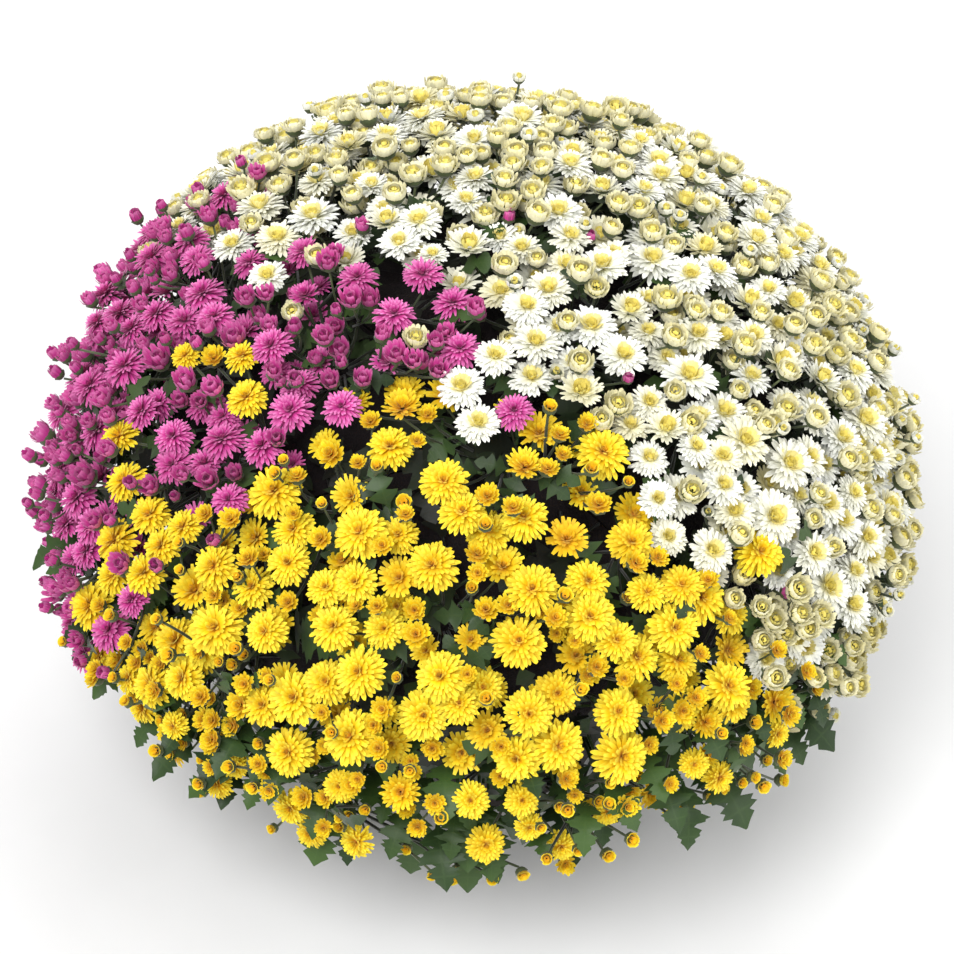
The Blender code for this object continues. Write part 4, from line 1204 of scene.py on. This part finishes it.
class Sprays:
    """Draws every spray: its petals in one piece and its stalks and calyxes in another."""

    stalk_foot = 1.25
    stalk_taper = 0.35
    stalk_radius = 0.00085
    stalk_sides = 4
    stalk_steps = 3
    stalk_sag = 0.10

    def __init__(self, workshop: Workshop, draw: np.random.Generator) -> None:
        """Makes the shapes that the sprays are put together from."""
        self.workshop = workshop
        self.draw = draw
        self.makers = {}
        for plant in Plant:
            inner = tuple(replace(row, length=row.length * 1.2, width=row.width * 1.2)
                          for row in BLOOM_ROWS[plant][2:])
            rows = {Stage.BLOOM: BLOOM_ROWS[plant], Stage.HALF: HALF_ROWS[plant], Stage.SHADED: inner,
                    Stage.CUP: CUP_ROWS[plant], Stage.BUD: BUD_ROWS[plant]}
            for stage, (variants, spread) in HEAD_VARIANTS.items():
                taper = CUP_TAPER if stage is Stage.CUP else TAPERS[plant]
                name = f"{plant.value}_{stage.value}"
                self.makers[plant, stage] = HeadMaker(rows[stage], variants, name, taper, spread)
        for maker in self.makers.values():
            maker.build(draw)
        self.calyxes = {stage: self.calyx(shape) for stage, shape in CALYXES.items()}

    def calyx(self, shape: CalyxShape) -> bpy.types.Mesh:
        """The turned mesh of a green cup."""
        bm = fresh_bmesh()
        outline = ((0.0, shape.outline[0][1] - 0.10), *shape.outline)
        spin_outline(bm, outline, shape.sides, 0.0001)
        round_off(bm)
        mark(bm, bm.verts, (0.5, 1.0, 0.0, 0.35))
        return to_mesh(bm, "calyx")

    def add_stalk(self, bm: bmesh.types.BMesh, head: Head) -> None:
        """Adds a head's stalk, which leaves its fork outwards and bends up under the head."""
        reach = (head.base - head.root).length
        points = []
        for index in range(self.stalk_steps + 1):
            share = index / self.stalk_steps
            point = head.root.lerp(head.base, share)
            bow = math.sin(math.pi * share) * reach * self.stalk_sag
            points.append(point - across_to((head.base - head.root).normalized(), head.axis) * bow)
        radii = [self.stalk_radius * (self.stalk_foot - self.stalk_taper * index / self.stalk_steps)
                 for index in range(len(points))]
        add_tube(bm, points, radii, self.stalk_sides, float(self.draw.uniform(0.1, 0.9)), 1.0)

    def build(self, name: str, heads: list) -> None:
        """Draws one spray in place of its node."""
        plant = Plant(name.split("_")[0])
        petals = {}
        greens = fresh_bmesh()
        for head in heads:
            spin = self.draw.uniform(0.0, math.tau)
            hint = Vector((math.cos(spin), math.sin(spin), 0.13))
            place = frame_of(head.axis, hint, head.middle)
            depth = head.radius * self.draw.uniform(0.93, 1.0)
            size = Matrix.Diagonal((head.radius, depth, head.radius, 1.0))
            maker = self.makers[head.plant, head.stage]
            mesh = maker.meshes[int(self.draw.integers(len(maker.meshes)))]
            if head.plant not in petals:
                petals[head.plant] = fresh_bmesh()
            stamp(petals[head.plant], mesh, place @ size, head.shade)
            stamp(greens, self.calyxes[head.stage], place @ size)
            self.add_stalk(greens, head)
        for own, bm in petals.items():
            finish = f"{own.value}_petals"
            label = f"{name}_petals" if own is plant else f"{name}_{own.value}_petals"
            self.workshop.piece(label, bm, finish, finish, [name] if own is plant else ())
        self.workshop.piece(f"{name}_stalks", greens, "stalks", "foliage")


# Half of a leaf's lobed outline: how far along, and how wide there as a share of its half width
PLAIN_LEAF = ((0.0, 0.10), (0.10, 0.22), (0.20, 0.66), (0.29, 0.86), (0.36, 0.60), (0.43, 0.26), (0.50, 0.62),
              (0.57, 1.00), (0.64, 0.66), (0.71, 0.30), (0.79, 0.56), (0.87, 0.40), (0.94, 0.26), (1.0, 0.02))
FINE_LEAF = ((0.0, 0.07), (0.08, 0.10), (0.13, 0.34), (0.17, 0.62), (0.20, 0.50), (0.25, 0.88), (0.29, 0.68),
             (0.33, 0.72), (0.37, 0.30), (0.41, 0.22), (0.45, 0.60), (0.49, 0.58), (0.53, 1.00), (0.57, 0.78),
             (0.61, 0.82), (0.65, 0.36), (0.69, 0.26), (0.73, 0.56), (0.77, 0.46), (0.81, 0.60), (0.85, 0.34),
             (0.89, 0.40), (0.94, 0.20), (1.0, 0.02))


@dataclass
class LeafMaker:
    """Makes lobed leaves, one unit long along +X with their upper side up."""

    rows: tuple
    half_width: float = 0.36
    forward: float = 0.34
    arch: float = 0.10
    fold: float = 0.16
    ripple: float = 0.035
    segments: int = 4
    variants: int = 5
    meshes: list = field(default_factory=list)

    def build(self, draw: np.random.Generator) -> None:
        """Makes the variants' meshes from grids whose rows follow the lobes."""
        for number in range(self.variants):
            bm = fresh_bmesh()
            grid = bmesh.ops.create_grid(bm, x_segments=self.segments, y_segments=len(self.rows) - 1,
                                         size=1.0)["verts"]
            layer = bm.verts.layers.float_color["petal"]
            wave = draw.uniform(-1.0, 1.0, 3)
            lobes = draw.uniform(0.85, 1.12, len(self.rows))
            for vert in grid:
                side = vert.co.x
                index = round((vert.co.y + 1.0) / 2.0 * (len(self.rows) - 1))
                share, width = self.rows[index]
                out = abs(side) * width * lobes[index] * self.half_width
                x = share * (1.0 - 0.10 * self.forward) + self.forward * out * (1.0 - share)
                lift = self.arch * math.sin(math.pi * share) - BLADE_DROOP * share * share
                lift += self.fold * out - 0.30 * out * out
                crimp = wave[0] * math.sin(9.0 * share + wave[1] * 3.0) * abs(side)
                lift += self.ripple * (crimp + wave[2] * side * share)
                vert.co = Vector((x, math.copysign(out, side), lift))
                vert[layer] = (share, abs(side), 1.0, draw.uniform())
            round_off(bm)
            self.meshes.append(to_mesh(bm, f"leaf_{number}"))


@dataclass
class Foliage:
    """Leaves, leaf stalks and leafy core of each plant."""

    workshop: Workshop
    dome: Dome
    draw: np.random.Generator
    bush_inset: float = 0.064
    bush_drop: float = 0.140
    core_inset: float = 0.006
    hem_radius: float = 0.129
    ceiling: float = 0.190
    hem_angle: float = math.radians(-50.0)
    core_rings: int = 14
    core_steps: int = 72
    leaf_count: int = 620
    lowest_leaf: float = -0.62
    petiole_radius: float = 0.0011
    petioles: tuple = (0.006, 0.027)
    leaf_sizes: tuple = (0.028, 0.044)
    small_leaf_share: float = 0.42
    small_leaf_sizes: tuple = (0.016, 0.030)
    skirt_leaves: int = 240
    skirt_insets: tuple = (0.014, 0.050)
    skirt_heights: tuple = (-0.50, 0.10)
    skirt_hang: tuple = (-0.45, 0.25)
    skirt_splay: float = 0.45
    skirt_rise: float = 22.0
    rises: tuple = (8.0, 46.0)
    shades: tuple = (0.45, 1.0)
    hem_step: float = 0.01
    hollow_radius: float = 0.06
    border_gap: float = 0.0006

    def bush_point(self, direction: Vector, inset: float = 0.0) -> Vector:
        """A point of the bush's surface, moved in by the inset."""
        flat = self.dome.radius - self.bush_inset - inset
        rise = (self.dome.rise - self.bush_inset if direction.z > 0.0 else self.bush_drop) - inset
        return Vector((direction.x * flat, direction.y * flat, self.dome.middle + direction.z * rise))

    def core(self, plant: Plant) -> bmesh.types.BMesh:
        """A plant's share of the crumpled mass of leaves and twigs inside the bush, whose near-black finish
        is painted shade.
        """
        bm = fresh_bmesh()
        outline = []
        for index in range(self.core_rings + 1):
            angle = math.pi / 2 + (self.hem_angle - math.pi / 2) * index / self.core_rings
            point = self.bush_point(Vector((math.cos(angle), 0.0, math.sin(angle))), self.core_inset)
            outline.append((point.x, point.z))
        outline[0] = (0.0, outline[0][1])
        outline += [(self.hem_radius, outline[-1][1] + self.hem_step),
                    (self.hem_radius - self.hem_step, self.ceiling),
                    (self.hollow_radius, self.ceiling), (0.0, self.ceiling)]
        spin_outline(bm, outline, self.core_steps, DOUBLES)
        for vert in bm.verts:
            push = noise.noise(vert.co * 38.0) * 0.010 + noise.noise(vert.co * 110.0) * 0.004
            vert.co += vert.normal * (push - 0.002)
        for normal in self.dome.border_planes(plant):
            geometry = bm.verts[:] + bm.edges[:] + bm.faces[:]
            point = Vector(self.dome.crown) + normal * self.border_gap
            bmesh.ops.bisect_plane(bm, geom=geometry, dist=DOUBLES, plane_co=point, plane_no=normal,
                                   clear_inner=True)
            bmesh.ops.holes_fill(bm, edges=[edge for edge in bm.edges if edge.is_boundary], sides=0)
        mark(bm, bm.verts, (0.5, 1.0, 0.0, 0.0))
        return bm

    def twig(self) -> bpy.types.Mesh:
        """A leaf stalk of length one and radius one, a little thicker at its root."""
        bm = fresh_bmesh()
        add_tube(bm, [Vector(), UP], [1.3, 1.0], 3, 0.6, 0.0)
        return to_mesh(bm, "twig")

    def seat(self, direction: Vector, skirt: bool) -> LeafSeat:
        """A leaf's seat on the bush under a direction from the dome's middle.

        Args:
            direction: Unit direction from the dome's middle.
            skirt: True for a leaf that hangs out and down at the bush's lower edge.

        Returns:
            The seat.
        """
        out = self.dome.normal(direction)
        side = across_to(out, HINT)
        front = out.cross(side)
        turn = self.draw.uniform(0.0, math.tau)
        rise = math.radians(self.draw.uniform(*self.rises))
        level = side * math.cos(turn) + front * math.sin(turn)
        up = out
        if skirt:
            level = Vector((out.x, out.y, self.draw.uniform(*self.skirt_hang))).normalized()
            level = (level + side * self.draw.uniform(-self.skirt_splay, self.skirt_splay)).normalized()
            rise = math.radians(self.draw.uniform(0.0, self.skirt_rise))
            up = (UP + out * 0.4).normalized()
        along = (level * math.cos(rise) + out * math.sin(rise)).normalized()
        root = self.bush_point(direction, 0.004)
        length = self.draw.uniform(*self.leaf_sizes)
        start = root + along * self.draw.uniform(*self.petioles)
        if skirt:
            start = self.dome.point(direction, self.draw.uniform(*self.skirt_insets))
        # Painted shade: leaves on the bush darken by a random share; the hanging skirt leaves don't
        shade = 0.0 if skirt else float(self.draw.uniform(*self.shades))
        return LeafSeat(root, start, along, across_to(along, up), length, shade)

    def seats(self, plant: Plant, own: list, heads: list) -> list:
        """All leaves of a plant: the frame's own, more on the bush and its hem, and small ones on stalks."""
        found = list(own)
        for index in range(self.leaf_count):
            height = 1.0 - (index + 0.5) / self.leaf_count * (1.0 - self.lowest_leaf)
            direction = self.dome.direction(height, index * GOLDEN_ANGLE)
            if self.dome.plant_at(self.dome.point(direction, self.bush_inset)) is plant:
                found.append(self.seat(direction, False))
        for index in range(self.skirt_leaves):
            turn = (index + self.draw.uniform(-0.4, 0.4)) * math.tau / self.skirt_leaves
            direction = self.dome.direction(self.draw.uniform(*self.skirt_heights), turn)
            if self.dome.plant_at(self.dome.point(direction, self.bush_inset)) is plant:
                found.append(self.seat(direction, True))
        for head in heads:
            if head.stage is Stage.BUD or self.draw.uniform() > self.small_leaf_share:
                continue
            root = head.root.lerp(head.base, self.draw.uniform(0.25, 0.60))
            out = self.dome.normal(self.dome.toward(root))
            side = across_to(out, Vector(self.draw.normal(0.0, 1.0, 3)))
            along = (side + out * self.draw.uniform(0.1, 0.8)).normalized()
            length = self.draw.uniform(*self.small_leaf_sizes)
            found.append(LeafSeat(root, root + along * 0.004, along, across_to(along, out), length, 0.2))
        return found

    def build(self, plant: Plant, own: list, heads: list, fine: LeafMaker, plain: LeafMaker) -> None:
        """Draws a plant's foliage in place of its node.

        Args:
            plant: The plant.
            own: The leaves of its frame node.
            heads: Its flower heads.
            fine: The shapes of the leaves that are seen best.
            plain: The shapes of those among the blooms.
        """
        leaves = fresh_bmesh()
        twig = self.twig()
        for seat in self.seats(plant, own, heads):
            side = seat.up.cross(seat.along)
            turn = Matrix((seat.along, side, seat.up)).transposed().to_4x4()
            breadth = seat.length * self.draw.uniform(0.85, 1.1)
            size = Matrix.Diagonal((seat.length, breadth, seat.length, 1.0))
            maker = fine if seat.shade == 0.0 else plain
            mesh = maker.meshes[int(self.draw.integers(len(maker.meshes)))]
            place = Matrix.Translation(seat.start) @ turn @ size
            stamp(leaves, mesh, place, seat.shade, float(self.draw.uniform()))
            way = seat.start + seat.along * seat.length * 0.03 - seat.root
            stretch = Matrix.Diagonal((self.petiole_radius, self.petiole_radius, way.length, 1.0))
            stamp(leaves, twig, frame_of(way.normalized(), seat.up, seat.root) @ stretch, seat.shade)
        name = f"{plant.value}_foliage"
        self.workshop.piece(f"{plant.value}_leaves", leaves, "leaves", "foliage", [name])
        self.workshop.piece(f"{plant.value}_core", self.core(plant), "core", "foliage")


@dataclass
class Holder:
    """The plain pot and the soil in it."""

    workshop: Workshop
    draw: np.random.Generator
    height: float = 0.175
    base_radius: float = 0.088
    mouth_radius: float = 0.115
    wall: float = 0.0025
    floor: float = 0.0035
    rim_width: float = 0.005
    rim_depth: float = 0.018
    drain_count: int = 6
    drain_radius: float = 0.007
    drain_circle: float = 0.058
    rim_step: float = 0.001
    steps: int = 96
    sharp_angle: float = math.radians(40.0)
    softening: float = 0.0008
    crumb_count: int = 200
    crumb_sizes: tuple = (0.0012, 0.0036)
    crumb_margin: float = 0.012
    soil_height: float = 0.159

    def build_pot(self) -> None:
        """The turned pot, finer than its node, with softened edges and the drain holes cut through."""
        step = self.height - self.rim_depth
        rim = self.mouth_radius + self.rim_width
        outline = [(0.0, self.floor), (self.base_radius - self.wall, self.floor),
                   (self.mouth_radius - self.wall, self.height), (rim, self.height), (rim, step),
                   (self.mouth_radius - self.rim_step, step), (self.base_radius, 0.0), (0.0, 0.0)]
        bm = fresh_bmesh()
        spin_outline(bm, outline, self.steps, DOUBLES)
        sharp = [edge for edge in bm.edges if edge.calc_face_angle(0.0) > self.sharp_angle]
        bmesh.ops.bevel(bm, geom=sharp, offset=self.softening, offset_type="OFFSET", affect="EDGES",
                        segments=2, profile=0.5, material=-1, clamp_overlap=True)
        round_off(bm)
        shell = self.workshop.piece("pot_shell", bm, "pot", "pot", ["pot"])
        self.cut_drains(shell)

    def cut_drains(self, shell: bpy.types.Object) -> None:
        """Cuts the ring of drain holes through the pot's floor."""
        bm = bmesh.new()
        for index in range(self.drain_count):
            turn = math.tau * index / self.drain_count
            place = Vector((math.cos(turn), math.sin(turn), 0.0)) * self.drain_circle
            bmesh.ops.create_cone(bm, cap_ends=True, segments=24, radius1=self.drain_radius,
                                  radius2=self.drain_radius, depth=4.0 * self.floor,
                                  matrix=Matrix.Translation(place))
        cutter = to_scene("drains", to_mesh(bm, "drains"))
        holes = shell.modifiers.new("drain holes", "BOOLEAN")
        holes.operation = "DIFFERENCE"
        holes.object = cutter
        bpy.context.view_layer.update()
        cut = bpy.data.meshes.new_from_object(shell.evaluated_get(bpy.context.evaluated_depsgraph_get()))
        shell.modifiers.clear()
        shell.data = cut
        bpy.data.objects.remove(cutter)

    def build_soil(self, node: bpy.types.Object) -> None:
        """Finishes the soil's node and strews crumbs of bark and peat on it."""
        node.data.materials.clear()
        node.data.materials.append(self.workshop.materials["soil"])
        bm = fresh_bmesh()
        for _ in range(self.crumb_count):
            reach = (self.mouth_radius - self.crumb_margin) * math.sqrt(self.draw.uniform())
            turn = self.draw.uniform(0.0, math.tau)
            size = self.draw.uniform(*self.crumb_sizes)
            lump = bmesh.ops.create_icosphere(bm, subdivisions=1, radius=size)["verts"]
            for vert in lump:
                vert.co *= 1.0 + 0.35 * noise.noise(vert.co * 900.0 + Vector((reach, turn, size)) * 50.0)
            bmesh.ops.translate(bm, verts=lump, vec=(reach * math.cos(turn), reach * math.sin(turn),
                                                     self.soil_height + size * 0.3))
        self.workshop.piece("soil_crumbs", bm, "soil", "soil")


# Each soft light's name, place and power
LIGHTS = (("key", (-0.7, -1.6, 2.4), 62.0), ("fill", (1.9, -1.1, 1.5), 20.0), ("back", (0.4, 2.0, 1.9), 26.0))


@dataclass
class Studio:
    """Pale floor and soft light."""

    workshop: Workshop
    floor_size: float = 8.0
    light_size: float = 1.6
    aim: tuple = (0.0, 0.0, 0.2)
    sky: float = 0.55

    def add_light(self, name: str, place: tuple, power: float) -> None:
        """A large soft light that faces the dome."""
        light = bpy.data.lights.new(name, "AREA")
        light.shape = "DISK"
        light.size = self.light_size
        light.energy = power
        item = to_scene(name, light)
        item.location = place
        item.rotation_euler = (Vector(self.aim) - Vector(place)).to_track_quat("-Z", "Y").to_euler()

    def build(self) -> None:
        """Lays the floor and sets the lights."""
        bm = bmesh.new()
        bmesh.ops.create_grid(bm, x_segments=1, y_segments=1, size=self.floor_size / 2)
        mesh = to_mesh(bm, "floor")
        mesh.materials.append(self.workshop.materials["floor"])
        floor = to_scene("floor", mesh)
        for name, place, power in LIGHTS:
            self.add_light(name, place, power)
        world = bpy.data.worlds.new("studio")
        world.use_nodes = True
        background = world.node_tree.nodes["Background"]
        background.inputs["Color"].default_value = (1.0, 1.0, 1.0, 1.0)
        background.inputs["Strength"].default_value = self.sky
        bpy.context.scene.world = world
        bpy.context.scene.view_settings.view_transform = "Standard"


def clear_scene() -> None:
    """Empties the start scene."""
    for item in list(bpy.data.objects):
        bpy.data.objects.remove(item)


def main() -> None:
    """Builds the looks round the frame, sub-assembly by sub-assembly."""
    logging.basicConfig(level=logging.INFO, format="%(message)s")
    clear_scene()
    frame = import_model()
    dome = Dome()
    view = View()
    view.build()
    reader = FrameReader()
    planting = Planting(dome, view)
    leaves = {}
    for name, item in sorted(frame["nodes"].items()):
        if "_spray_" in name:
            planting.take(name, reader.heads(name, item))
        elif name.endswith("_foliage"):
            leaves[Plant(name.split("_")[0])] = reader.leaves(item)
    heads_read = sum(map(len, planting.sprays.values()))
    LOG.info("frame: %d heads, %d leaves", heads_read, sum(map(len, leaves.values())))
    planting.fill()
    workshop = Workshop()
    draw = np.random.default_rng(SEED + 1)
    sprays = Sprays(workshop, draw)
    for name, heads in planting.sprays.items():
        sprays.build(name, heads)
    fine, plain = LeafMaker(FINE_LEAF), LeafMaker(PLAIN_LEAF, segments=2)
    for maker in (fine, plain):
        maker.build(draw)
    foliage = Foliage(workshop, dome, draw)
    for plant, own in leaves.items():
        heads = [head for group in planting.sprays.values() for head in group if head.plant is plant]
        foliage.build(plant, own, heads, fine, plain)
    holder = Holder(workshop, draw)
    holder.build_pot()
    holder.build_soil(frame["nodes"]["soil"])
    Studio(workshop).build()


if __name__ == "__main__":
    main()
